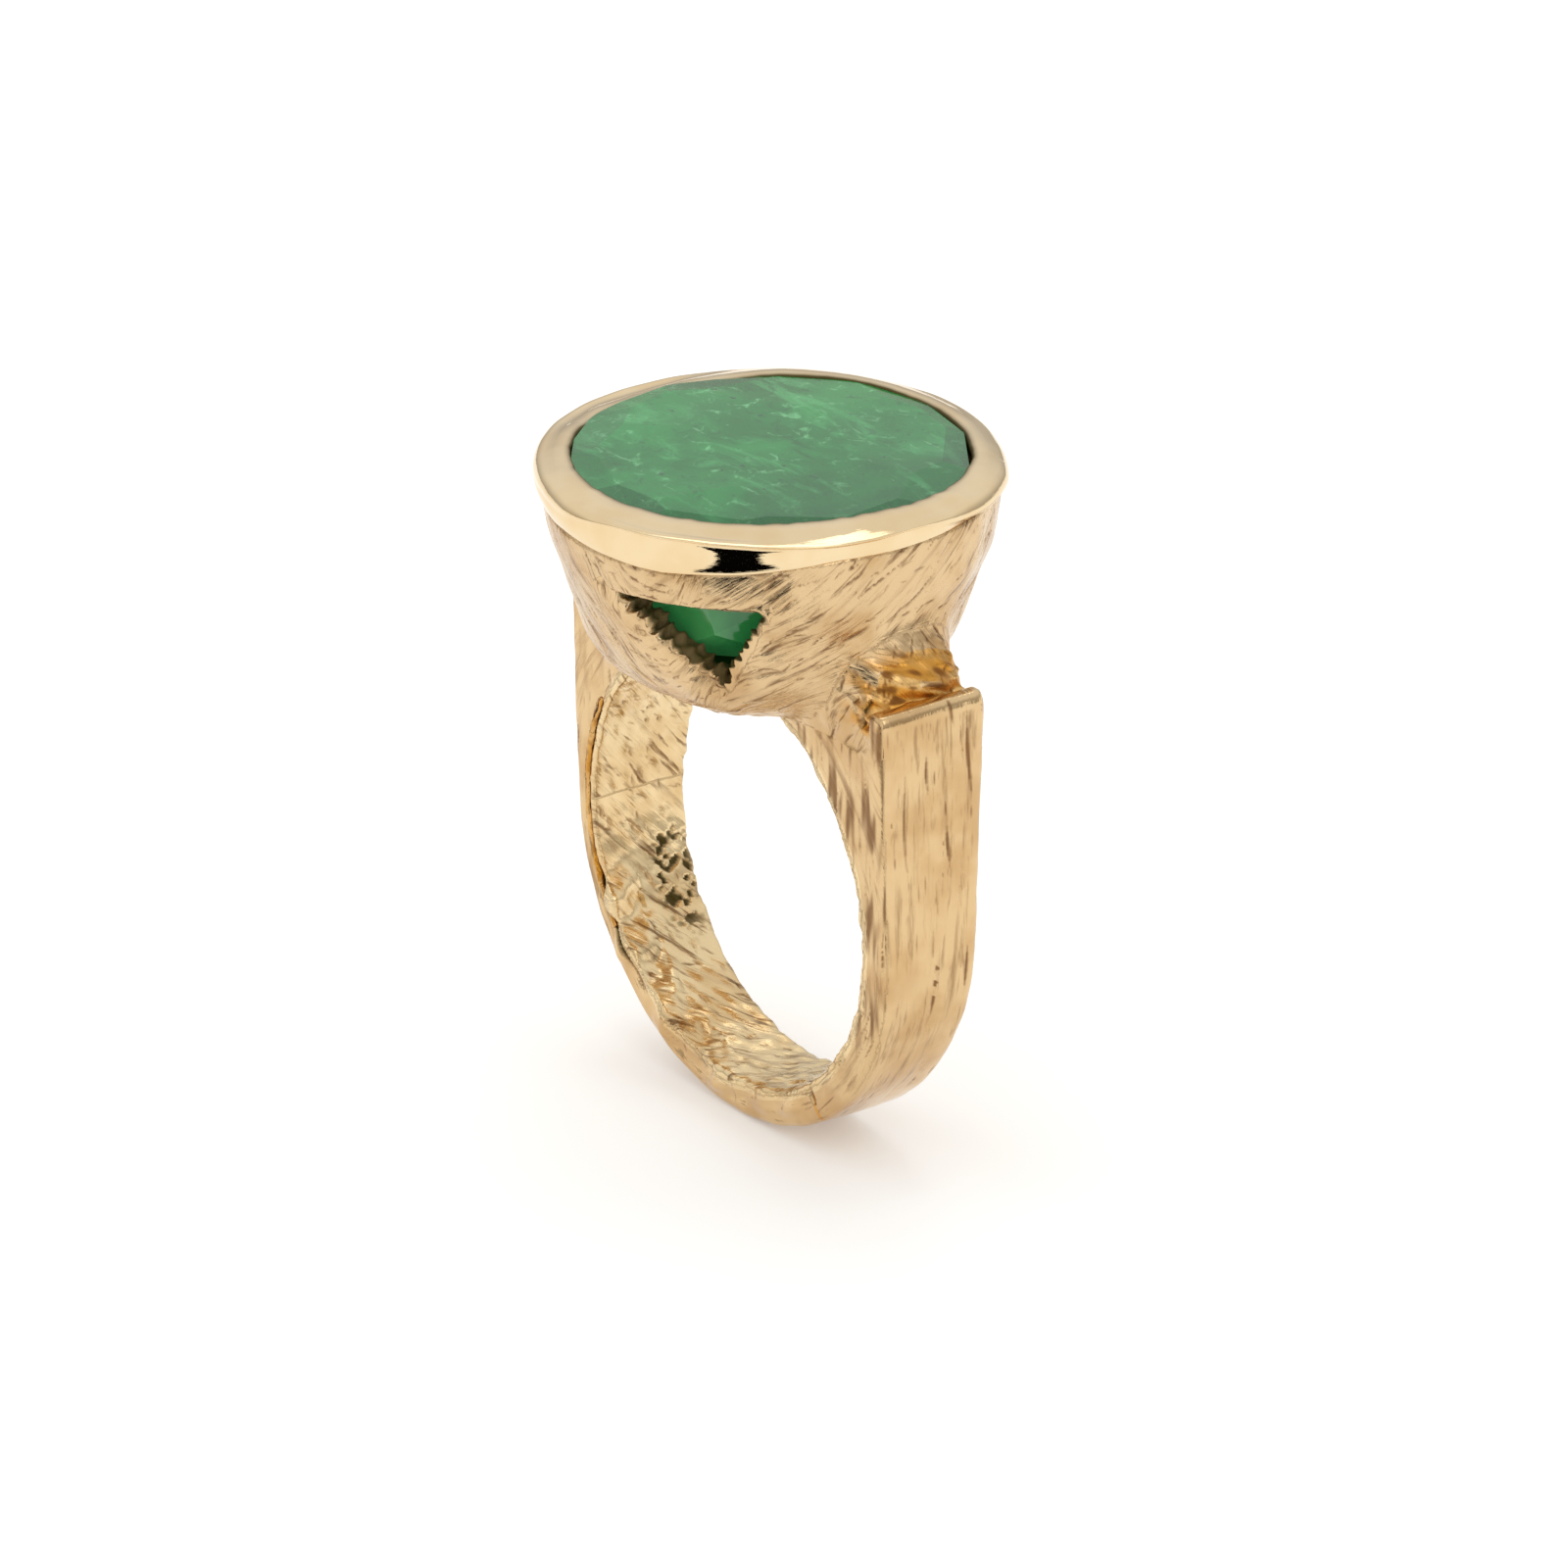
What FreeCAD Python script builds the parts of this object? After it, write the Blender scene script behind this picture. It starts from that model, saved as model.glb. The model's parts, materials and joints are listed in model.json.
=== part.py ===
"""Cocktail ring: a large oval emerald in a rolled gold bezel, on a squared stirrup band.

Millimetres. The origin is the centre of the finger hole. The finger runs along Y, +X is the
ring's right shoulder and +Z is the way that the stone faces. Front is the -Y side.
"""
import os
from functools import cache
from math import cos, radians, sin

import FreeCAD
import Part
from FreeCAD import Vector

# Finger hole and the liner that forms it
bore_radius = 8.65
liner_wall = 0.45

# Stirrup band: flat sides above the finger's centre, half round below, a little off centre
strap_wall_side = 0.97
strap_wall_bottom = 1.05
band_offset = 0.22
band_width_top = 4.95
band_width_bottom = 3.75
shoulder_rise = 0.75
shoulder_round = 0.45
band_edge_round = 0.3

# Pocket in each shoulder that takes the neck, and the rim left standing outside it
rim_thickness = 0.8
pocket_depth = 1.75

# Necks that carry the cup on the shoulders
neck_width = 4.7
neck_top_width = 2.4
neck_setback = 0.6
neck_waist_rise = 1.25
solder_depth = 0.95
solder_sag = 0.15
solder_creep = 0.2

# Solder: the sizing seam across the band and the bead along the liner's front left edge
seam_angle = -55.0
seam_thickness = 0.2
bead_width = 0.3
bead_depth = 0.28
bead_from_angle = 150.0
bead_to_angle = 214.0

# Emerald, seen from above: an oval, turned a little on the band
stone_length = 16.38
stone_width = 15.2
stone_turn = 50.0
stone_depth = 6.95
table_bevel = 1.0
crown_height = 0.45
girdle_thickness = 0.3
stone_play = 0.1

# Bezel collar and the seat inside it
collar_wall = 1.05
collar_height = 1.75
lip_cover = 0.18
roll_depth = 1.05
roll_crest_depth = 0.21
roll_crest_share = 0.62
bearing_width = 0.55
seat_height = 0.9

# Setting cup
cup_height = 6.1
cup_wall = 0.95
cup_floor = 0.5
cup_floor_slope_run = 1.43
cup_relief = 0.3
cup_rim_setback = 0.12
window_angle = -60.0
window_width = 6.7
window_below_rim = 1.45
window_above_floor = 0.25
window_apex_shift = 1.0

# Worked out from the sizes above
liner_radius = bore_radius + liner_wall
side_x = liner_radius + strap_wall_side
bottom_z = -(liner_radius + strap_wall_bottom)
shoulder_height = liner_radius + shoulder_rise
pocket_floor_height = shoulder_height - pocket_depth
pocket_x = side_x - rim_thickness
neck_x = pocket_x - neck_setback
neck_waist_height = shoulder_height + neck_waist_rise
solder_bed_height = shoulder_height - solder_depth
cup_floor_height = liner_radius + cup_floor
cup_rim_height = liner_radius + cup_height
collar_top = cup_rim_height + collar_height
table_height = collar_top
stone_radius = (stone_length + stone_width) / 4
girdle_top = table_height - crown_height
girdle_bottom = girdle_top - girdle_thickness
culet_height = table_height - stone_depth
collar_inner = stone_radius + stone_play
collar_outer = collar_inner + collar_wall
cup_rim_radius = collar_outer - cup_rim_setback
bearing_radius = stone_radius - bearing_width
window_top_height = cup_rim_height - window_below_rim
window_apex_height = cup_floor_height + window_above_floor
reach = 4 * side_x
center = Vector(0, 0, 0)
y_axis = Vector(0, 1, 0)
z_axis = Vector(0, 0, 1)


def in_xz(points):
    """Points of an outline in the plane of the band, at Y = 0."""
    return [Vector(x, 0, z) for x, z in points]


def extrude_y(wire, width):
    """A closed XZ outline made solid, half of its width each side of Y = 0."""
    face = Part.Face(wire)
    face.translate(Vector(0, -width / 2, 0))
    return face.extrude(Vector(0, width, 0))


def polygon_y(points, width):
    return extrude_y(Part.makePolygon(in_xz(points + points[:1])), width)


def cylinder_y(radius, width=reach):
    return Part.makeCylinder(radius, width, Vector(0, -width / 2, 0), y_axis)


def shoulder_x(distance, side):
    """X of a place on a shoulder: side is 1 at the right and -1 at the left."""
    return band_offset + side * distance


def spin(edges):
    """A half profile at Y = 0 turned once round Z."""
    return Part.Face(Part.Wire(edges)).revolve(center, z_axis, 360)


def ovalled(shape):
    """A round shape stretched to the stone's oval, and turned as the stone is."""
    along = stone_length / (2 * stone_radius)
    across = stone_width / (2 * stone_radius)
    stretch = FreeCAD.Matrix()
    stretch.scale(across, along, 1)
    turn = FreeCAD.Matrix()
    turn.rotateZ(radians(stone_turn))
    return shape.transformGeometry(turn.multiply(stretch))


def edges_through(points):
    corners = in_xz(points)
    return [Part.LineSegment(a, b).toShape() for a, b in zip(corners, corners[1:])]


def spline_through(points):
    curve = Part.BSplineCurve()
    curve.interpolate(in_xz(points))
    return curve.toShape()


def band_slab(inset=0.0):
    """Everything between the two side faces, which widen evenly from bottom to shoulder."""
    slope = (band_width_top - band_width_bottom) / 2 / (shoulder_height - bottom_z)

    def half_width(z):
        return band_width_bottom / 2 + slope * (z - bottom_z) - inset

    low = bottom_z - 1
    high = shoulder_height + 1
    corners = [Vector(-reach / 2, -half_width(low), low), Vector(-reach / 2, half_width(low), low),
               Vector(-reach / 2, half_width(high), high), Vector(-reach / 2, -half_width(high), high)]
    return Part.Face(Part.makePolygon(corners + corners[:1])).extrude(Vector(reach, 0, 0))


def bead_space():
    """The groove along the front left edge, where liner and strap meet."""
    pipe = cylinder_y(liner_radius + bead_depth / 2).cut(cylinder_y(liner_radius - bead_depth / 2))
    middle = (bead_from_angle + bead_to_angle) / 2
    rays = [radians(angle) for angle in (bead_from_angle, middle, bead_to_angle)]
    sector = polygon_y([(0, 0)] + [(reach * cos(ray), reach * sin(ray)) for ray in rays], reach)
    front = Part.makeBox(reach, reach, reach, Vector(-reach / 2, -reach, -reach / 2))
    skin = band_slab().cut(band_slab(bead_width))
    return pipe.common(sector).common(front).common(skin)


def seam_space():
    """The saw cut across the band where it was sized."""
    cut = Part.makeBox(reach, reach, seam_thickness, Vector(0, -reach / 2, -seam_thickness / 2))
    return cut.rotate(center, y_axis, -seam_angle)


@cache
def stirrup():
    """The whole outer band before its seam is cut, with both pockets and the bead's groove."""
    left_x, right_x = band_offset - side_x, band_offset + side_x
    centre_z = bottom_z + side_x
    left, right = Vector(left_x, 0, centre_z), Vector(right_x, 0, centre_z)
    top_left, top_right = Vector(left_x, 0, shoulder_height), Vector(right_x, 0, shoulder_height)
    outline = Part.Wire([
        Part.LineSegment(top_left, left).toShape(),
        Part.Arc(left, Vector(band_offset, 0, bottom_z), right).toShape(),
        Part.LineSegment(right, top_right).toShape(),
        Part.LineSegment(top_right, top_left).toShape()])
    block = extrude_y(outline, reach).common(band_slab())
    shoulder_edges = [edge for edge in block.Edges
                      if edge.BoundBox.ZMin > shoulder_height - 0.01 and edge.BoundBox.XLength < 0.01]
    block = block.makeFillet(shoulder_round, shoulder_edges)
    block = block.makeFillet(band_edge_round, long_edges(block))
    pocket_low = Vector(band_offset - pocket_x, -reach / 2, pocket_floor_height)
    pocket = Part.makeBox(2 * pocket_x, reach, reach, pocket_low)
    return block.cut(cylinder_y(liner_radius)).cut(pocket).cut(bead_space())


def long_edges(block):
    """The edges that run round the outside of the band, on both side faces."""
    return [edge for edge in block.Edges
            if edge.BoundBox.YLength < 0.75 * band_width_bottom
            and edge.BoundBox.XMax - band_offset > side_x - shoulder_round - 0.01
            and not (edge.BoundBox.ZMin > shoulder_height - 0.01)]


def inner_band():
    pipe = cylinder_y(liner_radius).cut(cylinder_y(bore_radius))
    return pipe.common(band_slab()).cut(bead_space())


def straps():
    """The stirrup sawn at the seam: left strap, right strap, and the solder between them."""
    whole = stirrup()
    seam = seam_space()
    left, right = sorted(whole.cut(seam).Solids, key=lambda solid: solid.CenterOfMass.x)
    return left, right, whole.common(seam)


def bowl_outline():
    """The cup's outer curve from its rim down past the band."""
    shares = [(1.0, 1.0), (0.985, 0.871), (0.93, 0.603), (0.86, 0.329), (0.80, 0.130),
              (0.705, -0.033), (0.615, -0.123), (0.50, -0.203), (0.38, -0.256)]
    return [(cup_rim_radius * across, liner_radius + cup_height * up) for across, up in shares]


@cache
def bowl():
    """The cup before it is hollowed."""
    points = bowl_outline()
    low = points[-1][1]
    return ovalled(spin([spline_through(points)] + edges_through(
        [points[-1], (0, low), (0, cup_rim_height), points[0]])))


def cup_shell():
    """The bowl with its hollow, one wall in from the outer curve, with a flat floor."""
    outer = bowl_outline()
    inner = [(r - cup_wall, z) for r, z in outer if z > cup_floor_height + cup_wall]
    inner.append((inner[-1][0] - cup_floor_slope_run, cup_floor_height))
    low = outer[-1][1]
    floor_line = edges_through([outer[-1], (0, low), (0, cup_floor_height), inner[-1]])
    return ovalled(spin([spline_through(outer)] + floor_line + [spline_through(inner[::-1])]
                        + edges_through([inner[0], outer[0]])))


def window_space():
    """One triangular window, point down, cut from the outside into the hollow."""
    corners = [Vector(stone_radius / 2, -window_width / 2, window_top_height),
               Vector(stone_radius / 2, window_width / 2, window_top_height),
               Vector(stone_radius / 2, window_apex_shift, window_apex_height)]
    prism = Part.Face(Part.makePolygon(corners + corners[:1])).extrude(Vector(reach / 2, 0, 0))
    return prism.rotate(center, z_axis, window_angle)


def setting_cup():
    front = window_space()
    back = front.copy().rotate(center, z_axis, 180)
    cup = cup_shell().cut(cylinder_y(bore_radius + cup_relief)).cut(band_parts())
    return cup.cut(front.fuse(back))


@cache
def band_parts():
    """Liner and stirrup as one shape, for cutting what rests on them."""
    return stirrup().fuse(cylinder_y(liner_radius).common(band_slab()))


def neck(side):
    """The block from a shoulder's pocket up to the cup's side, narrowing as it meets the cup."""
    inside = cup_rim_radius / 3
    top_radius, top = bowl_outline()[2]
    outline = [(inside, pocket_floor_height), (pocket_x, pocket_floor_height), (pocket_x, solder_bed_height),
               (neck_x, solder_bed_height), (neck_x, neck_waist_height), (top_radius, top), (inside, top)]
    block = polygon_y([(shoulder_x(x, side), z) for x, z in outline], neck_width)
    half, top_half = neck_width / 2, neck_top_width / 2
    corners = [(-half, pocket_floor_height), (half, pocket_floor_height), (half, neck_waist_height),
               (top_half, top), (-top_half, top), (-half, neck_waist_height)]
    taper = Part.makePolygon([Vector(0, y, z) for y, z in corners + corners[:1]])
    block = block.common(Part.Face(taper).extrude(Vector(side * reach, 0, 0)))
    return block.cut(bowl()).cut(band_parts())


def shoulder_solder(side):
    """The rough fillet of solder in the corner between neck and shoulder rim."""
    rim_height = shoulder_height - shoulder_round / 2
    sag_height = (rim_height + neck_waist_height) / 2 - solder_sag
    foot = Vector(shoulder_x(neck_x, side), 0, solder_bed_height)
    rim_foot = Vector(shoulder_x(pocket_x, side), 0, solder_bed_height)
    rim_top = Vector(rim_foot.x, 0, rim_height)
    sag = Vector(shoulder_x(neck_x + solder_creep, side), 0, sag_height)
    neck_top = Vector(foot.x, 0, neck_waist_height)
    outline = Part.Wire([
        Part.LineSegment(foot, rim_foot).toShape(),
        Part.LineSegment(rim_foot, rim_top).toShape(),
        Part.Arc(rim_top, sag, neck_top).toShape(),
        Part.LineSegment(neck_top, foot).toShape()])
    return extrude_y(outline, neck_width).cut(bowl())


def emerald():
    """Flat table, short crown, thin girdle and a deep stepped pavilion."""
    depth = cup_rim_height - culet_height
    steps = [(1.0, 0.0), (0.95, 0.24), (0.85, 0.62), (0.65, 0.90), (0.41, 1.0)]
    profile = [(0, table_height), (stone_radius - table_bevel, table_height),
               (stone_radius, girdle_top), (stone_radius, girdle_bottom)]
    profile += [(bearing_radius * across, cup_rim_height - depth * down) for across, down in steps]
    profile += [(0, culet_height), (0, table_height)]
    return ovalled(spin(edges_through(profile)))


def bezel_collar():
    """The polished collar: a rolled top that laps over the crown, above a flatter strip."""
    lip = stone_radius - lip_cover
    crown_slope = crown_height / table_bevel
    roll_width = collar_outer - lip
    roll_foot = Vector(collar_outer, 0, collar_top - roll_depth)
    roll_crest = Vector(lip + roll_crest_share * roll_width, 0, collar_top - roll_crest_depth)
    strip_foot = collar_outer - 0.5 * cup_rim_setback
    roll = Part.Arc(Vector(lip, 0, table_height), roll_crest, roll_foot)
    rest = edges_through([
        (roll_foot.x, roll_foot.z), (strip_foot, cup_rim_height), (collar_inner, cup_rim_height),
        (collar_inner, girdle_top - stone_play * crown_slope),
        (lip, girdle_top + lip_cover * crown_slope), (lip, table_height)])
    return ovalled(spin([roll.toShape()] + rest))


def stone_seat():
    """The bearing ledge inside the collar that the pavilion's first slope sits on."""
    slope = bearing_width / (girdle_bottom - cup_rim_height)
    top = cup_rim_height + seat_height
    return ovalled(spin(edges_through([
        (bearing_radius, cup_rim_height), (collar_inner, cup_rim_height), (collar_inner, top),
        (bearing_radius + slope * seat_height, top), (bearing_radius, cup_rim_height)])))


def save(name, shape):
    solids = shape.Solids
    assert solids and all(solid.isValid() for solid in solids), name
    result = solids[0] if len(solids) == 1 else Part.makeCompound(solids)
    result.exportStep(os.path.join("parts", name + ".step"))
    print(f"{name}: {len(solids)} solid, {result.Volume:.1f} mm3")


def main():
    os.makedirs("parts", exist_ok=True)
    left, right, seam = straps()
    save("emerald", emerald())
    save("bezel_collar", bezel_collar())
    save("stone_seat", stone_seat())
    save("setting_cup", setting_cup())
    for name, side in (("right", 1), ("left", -1)):
        save("neck_" + name, neck(side))
        save("shoulder_solder_" + name, shoulder_solder(side))
    save("inner_band", inner_band())
    save("strap_left", left)
    save("strap_right", right)
    save("sizing_seam", seam)
    save("liner_solder", bead_space())


main()
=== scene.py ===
"""Looks for a cocktail ring: a cloudy oval emerald in a rolled gold bezel on a carved stirrup band.

The file is laid out as an add-on and run as a script. Lengths inside the pieces' functions are in
millimetres, and every finished mesh is turned to metres. The finger runs along Y and +Z is up.
"""
import json
from functools import cache
from math import atan2, cos, hypot, pi, radians, sin, tau
from types import SimpleNamespace

import bmesh
import bpy
import numpy as np
from mathutils import Matrix, Vector

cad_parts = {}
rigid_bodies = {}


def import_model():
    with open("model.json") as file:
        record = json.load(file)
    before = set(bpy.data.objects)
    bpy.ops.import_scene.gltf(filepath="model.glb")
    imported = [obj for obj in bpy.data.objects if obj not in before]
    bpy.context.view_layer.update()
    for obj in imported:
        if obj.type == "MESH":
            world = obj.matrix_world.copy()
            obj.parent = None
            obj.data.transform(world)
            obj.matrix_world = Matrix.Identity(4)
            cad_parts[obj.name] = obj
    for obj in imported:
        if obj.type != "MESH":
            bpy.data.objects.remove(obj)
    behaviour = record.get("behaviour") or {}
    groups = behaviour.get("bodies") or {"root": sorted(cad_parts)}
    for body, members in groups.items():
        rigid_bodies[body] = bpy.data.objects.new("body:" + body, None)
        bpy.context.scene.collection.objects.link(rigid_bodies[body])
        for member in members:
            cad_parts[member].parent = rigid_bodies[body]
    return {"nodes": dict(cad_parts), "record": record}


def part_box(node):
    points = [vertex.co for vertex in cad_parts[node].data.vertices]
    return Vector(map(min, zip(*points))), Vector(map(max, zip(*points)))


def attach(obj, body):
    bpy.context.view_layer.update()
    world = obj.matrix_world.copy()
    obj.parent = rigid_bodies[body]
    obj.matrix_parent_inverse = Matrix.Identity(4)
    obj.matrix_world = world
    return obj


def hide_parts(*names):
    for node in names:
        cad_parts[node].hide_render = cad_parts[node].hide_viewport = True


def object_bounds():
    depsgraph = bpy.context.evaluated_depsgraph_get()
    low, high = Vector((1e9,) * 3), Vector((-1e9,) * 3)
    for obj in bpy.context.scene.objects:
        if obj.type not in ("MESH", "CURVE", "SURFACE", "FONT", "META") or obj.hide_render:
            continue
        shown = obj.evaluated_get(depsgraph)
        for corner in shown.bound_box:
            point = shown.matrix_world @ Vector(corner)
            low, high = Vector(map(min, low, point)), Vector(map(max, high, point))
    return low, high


bl_info = {
    "name": "Cocktail ring",
    "version": (1, 0, 0),
    "blender": (4, 5, 0),
    "location": "View3D > Sidebar > Ring",
    "description": "Carved gold, a rolled bezel and a cloudy emerald around the ring's fixed frame",
    "category": "Object",
}

for leftover in list(bpy.data.objects):
    bpy.data.objects.remove(leftover)
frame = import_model()
cad_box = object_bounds()

MM = 0.001
UP = Vector((0, 0, 1))


# ---------------------------------------------------------------- sizes read from the frame

def node_points(name):
    """The vertices of a CAD node, in millimetres."""
    return np.array([vertex.co for vertex in frame["nodes"][name].data.vertices], float) / MM


def node_box(name):
    """The lowest and highest corners of a CAD node, in millimetres."""
    low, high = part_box(name)
    return np.array(low) / MM, np.array(high) / MM


def reach_towards(points, angle):
    """How far the points go from the Z axis in one direction seen from above."""
    return (points[:, 0] * cos(angle) + points[:, 1] * sin(angle)).max()


collar_points = node_points("bezel_collar")
turns = [radians(step) for step in range(180)]
widths = [reach_towards(collar_points, turn) for turn in turns]
long_half, short_half = max(widths), min(widths)
short_turn = turns[widths.index(short_half)]
collar_radius = (long_half + short_half) / 2
across_share, along_share = short_half / collar_radius, long_half / collar_radius
collar_low, collar_high = node_box("bezel_collar")
stone_low, stone_high = node_box("emerald")
liner_high = node_box("inner_band")[1]
cup_low, cup_high = node_box("setting_cup")
right_high = node_box("strap_right")[1]
left_low = node_box("strap_left")[0]
neck_low, neck_high = node_box("neck_right")
solder_low = node_box("shoulder_solder_right")[0]
liner_radius = liner_high[0]
bore_radius = frame["record"]["mounts"][0]["dims"]["r_mm"]
band_offset = (right_high[0] + left_low[0]) / 2
side_x = right_high[0] - band_offset
bottom_z = left_low[2]
arc_z = bottom_z + side_x
shoulder_z = right_high[2]
pocket_z = neck_low[2]
pocket_x = neck_high[0] - band_offset
neck_x = solder_low[0] - band_offset
solder_z = solder_low[2]
cup_rim_z = cup_high[2]
left_points = node_points("strap_left")
band_low_half = abs(left_points[left_points[:, 2] < bottom_z + 0.3, 1]).max()
band_high_half = right_high[1]


def to_oval(radius, angle):
    """Plan position of a place on the stone's oval, from its radius and angle on a circle."""
    short, long = radius * cos(angle) * across_share, radius * sin(angle) * along_share
    return (short * cos(short_turn) - long * sin(short_turn),
            short * sin(short_turn) + long * cos(short_turn))


def oval_radius(points):
    """The circle radius of each point once the oval is drawn back to a circle."""
    short = (points[:, 0] * cos(short_turn) + points[:, 1] * sin(short_turn)) / across_share
    long = (points[:, 1] * cos(short_turn) - points[:, 0] * sin(short_turn)) / along_share
    return np.hypot(short, long)


def bowl_profile():
    """Heights and circle radii of the cup's outer curve."""
    points = node_points("setting_cup")
    radii = oval_radius(points)
    heights = np.arange(cup_low[2], cup_rim_z + 0.3, 0.3)
    found = [(z, radii[abs(points[:, 2] - z) < 0.2].max()) for z in heights
             if (abs(points[:, 2] - z) < 0.2).any()]
    return np.array(found).T


bowl_heights, bowl_radii = bowl_profile()
stone_radius = oval_radius(node_points("emerald")).max()
collar_radius_outside = oval_radius(collar_points).max()


def bowl_radius(heights):
    """The circle radius of the cup's outer curve at each height."""
    return np.interp(heights, bowl_heights, bowl_radii)


# ---------------------------------------------------------------- small tools

def smoothstep(low, high, value):
    """0 below low, 1 above high and a smooth rise between; it falls where high is the smaller."""
    share = np.clip((value - low) / (high - low), 0, 1)
    return share * share * (3 - 2 * share)


def linear(colour):
    """An sRGB hex colour as linear red, green, blue and alpha."""
    parts = [int(colour[i:i + 2], 16) / 255 for i in (1, 3, 5)]
    return [c / 12.92 if c <= 0.04045 else ((c + 0.055) / 1.055) ** 2.4 for c in parts] + [1]


def add(tree, kind, inputs=None, **settings):
    """A node with its settings. Inputs are values, or other nodes' output sockets to link."""
    node = tree.nodes.new(kind)
    for name, value in settings.items():
        setattr(node, name, value)
    for socket, value in (inputs or {}).items():
        if isinstance(value, bpy.types.NodeSocket):
            tree.links.new(value, node.inputs[socket])
        else:
            node.inputs[socket].default_value = value
    return node


def new_object(name, mesh):
    """An object in the scene, at the origin, with this mesh, lamp or camera."""
    made = bpy.data.objects.new(name, mesh)
    bpy.context.scene.collection.objects.link(made)
    return made


def as_mesh(solid, name):
    """Turns a bmesh to a mesh and frees it."""
    mesh = bpy.data.meshes.new(name)
    solid.to_mesh(mesh)
    solid.free()
    return mesh


def face_outwards(mesh, merge=0.0):
    """Turns every face outwards, once points nearer than the merge distance are one."""
    solid = bmesh.new()
    solid.from_mesh(mesh)
    if merge:
        bmesh.ops.remove_doubles(solid, verts=solid.verts, dist=merge)
    bmesh.ops.recalc_face_normals(solid, faces=solid.faces)
    solid.to_mesh(mesh)
    solid.free()


def bake(piece):
    """Turns the piece's modifiers into its plain mesh."""
    evaluated = piece.evaluated_get(bpy.context.evaluated_depsgraph_get())
    mesh = bpy.data.meshes.new_from_object(evaluated)
    piece.modifiers.clear()
    piece.data = mesh
    return piece


def use_tree(piece, tree, **values):
    """Runs a Geometry Nodes tree on the piece with these named inputs, and bakes it."""
    modifier = piece.modifiers.new(tree.name, "NODES")
    modifier.node_group = tree
    for name, value in values.items():
        socket = tree.interface.items_tree[name.replace("_", " ").capitalize()]
        modifier[socket.identifier] = value
    return bake(piece)


def new_tree(name, sockets):
    """An empty Geometry Nodes tree with a geometry input, these named inputs and a geometry output."""
    tree = bpy.data.node_groups.new(name, "GeometryNodeTree")
    tree.interface.new_socket("Geometry", in_out="INPUT", socket_type="NodeSocketGeometry")
    for label, kind in sockets:
        tree.interface.new_socket(label, in_out="INPUT", socket_type=kind)
    tree.interface.new_socket("Geometry", in_out="OUTPUT", socket_type="NodeSocketGeometry")
    return tree, add(tree, "NodeGroupInput").outputs


def close_tree(tree, geometry, material):
    """Ends a tree in Realize Instances and Set Material."""
    real = add(tree, "GeometryNodeRealizeInstances", {0: geometry})
    painted = add(tree, "GeometryNodeSetMaterial", {"Geometry": real.outputs[0], "Material": material})
    add(tree, "NodeGroupOutput", {"Geometry": painted.outputs[0]})
    return tree


def read(mesh, name, width=3):
    """A point attribute, or the vertices' places for the name co, as an array."""
    values = np.empty(len(mesh.vertices) * width, np.float32)
    if name in ("co", "normal"):
        mesh.vertices.foreach_get(name, values)
    else:
        mesh.attributes[name].data.foreach_get("vector" if width == 3 else "value", values)
    return values.reshape(-1, width).astype(float) if width > 1 else values.astype(float)


def write(mesh, name, values):
    """Stores a point attribute, or moves the vertices for the name co."""
    flat = np.ascontiguousarray(values, np.float32).ravel()
    if name == "co":
        mesh.vertices.foreach_set("co", flat)
        mesh.update()
        return
    vector = values.ndim == 2
    found = mesh.attributes.get(name) or mesh.attributes.new(
        name, "FLOAT_VECTOR" if vector else "FLOAT", "POINT")
    found.data.foreach_set("vector" if vector else "value", flat)


def read_pairs(mesh):
    """The two point numbers of each edge."""
    pairs = np.empty(len(mesh.edges) * 2, np.int32)
    mesh.edges.foreach_get("vertices", pairs)
    return pairs.reshape(-1, 2)


def relax(points, pairs, share, rounds):
    """Moves each point its own share of the way to the middle of its neighbours, again and again."""
    here, there = np.r_[pairs[:, 0], pairs[:, 1]], np.r_[pairs[:, 1], pairs[:, 0]]
    count = np.bincount(here, minlength=len(points))[:, None]
    for _ in range(rounds):
        total = np.stack([np.bincount(here, points[there, i], len(points)) for i in range(3)], 1)
        points = points + share[:, None] * (total / count - points)
    return points


def wander(points, size, seed):
    """Smooth noise between about -1 and 1 at each point; size is the distance between its swells."""
    wave = np.zeros(len(points))
    draw = np.random.default_rng(seed)
    for octave in range(10):
        direction = draw.normal(size=3)
        direction *= tau / size / np.linalg.norm(direction) * draw.uniform(0.55, 1.6)
        wave += np.sin(points @ direction + draw.uniform(0, tau))
    return wave / 3.2


def finish_piece(piece, material, slot, *nodes, crease=48):
    """Gives a piece its material and finish, turns it to metres and ties it to the frame."""
    mesh = piece.data
    mesh.materials.clear()
    mesh.materials.append(material)
    mesh.polygons.foreach_set("material_index", np.zeros(len(mesh.polygons), np.int32))
    mesh.polygons.foreach_set("use_smooth", np.ones(len(mesh.polygons), bool))
    mesh.set_sharp_from_angle(angle=radians(crease))
    mesh.transform(Matrix.Scale(MM, 4))
    mesh.update()
    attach(piece, "root")
    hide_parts(*nodes)
    return piece


# ---------------------------------------------------------------- materials

def new_material(name):
    """A material with an empty node tree."""
    material = bpy.data.materials.new(name)
    material.use_nodes = True
    material.node_tree.nodes.clear()
    return material, material.node_tree


def in_linear(colour):
    """A hex colour, or a colour already linear, as four linear numbers."""
    return linear(colour) if isinstance(colour, str) else tuple(colour)


def paint(tree, colour, layers):
    """Lays colours over a first one, each where its pattern climbs from a low to a high value.

    A layer is its pattern, the two values, the most that it covers and its colour.
    """
    colour = in_linear(colour)
    for pattern, low, high, most, over in layers:
        share = add(tree, "ShaderNodeMapRange", {0: pattern, 1: low, 2: high, 3: 0.0, 4: most},
                    interpolation_type="SMOOTHSTEP")
        colour = add(tree, "ShaderNodeMix", {0: share.outputs[0], 6: colour, 7: in_linear(over)},
                     data_type="RGBA").outputs[2]
    return colour


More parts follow.
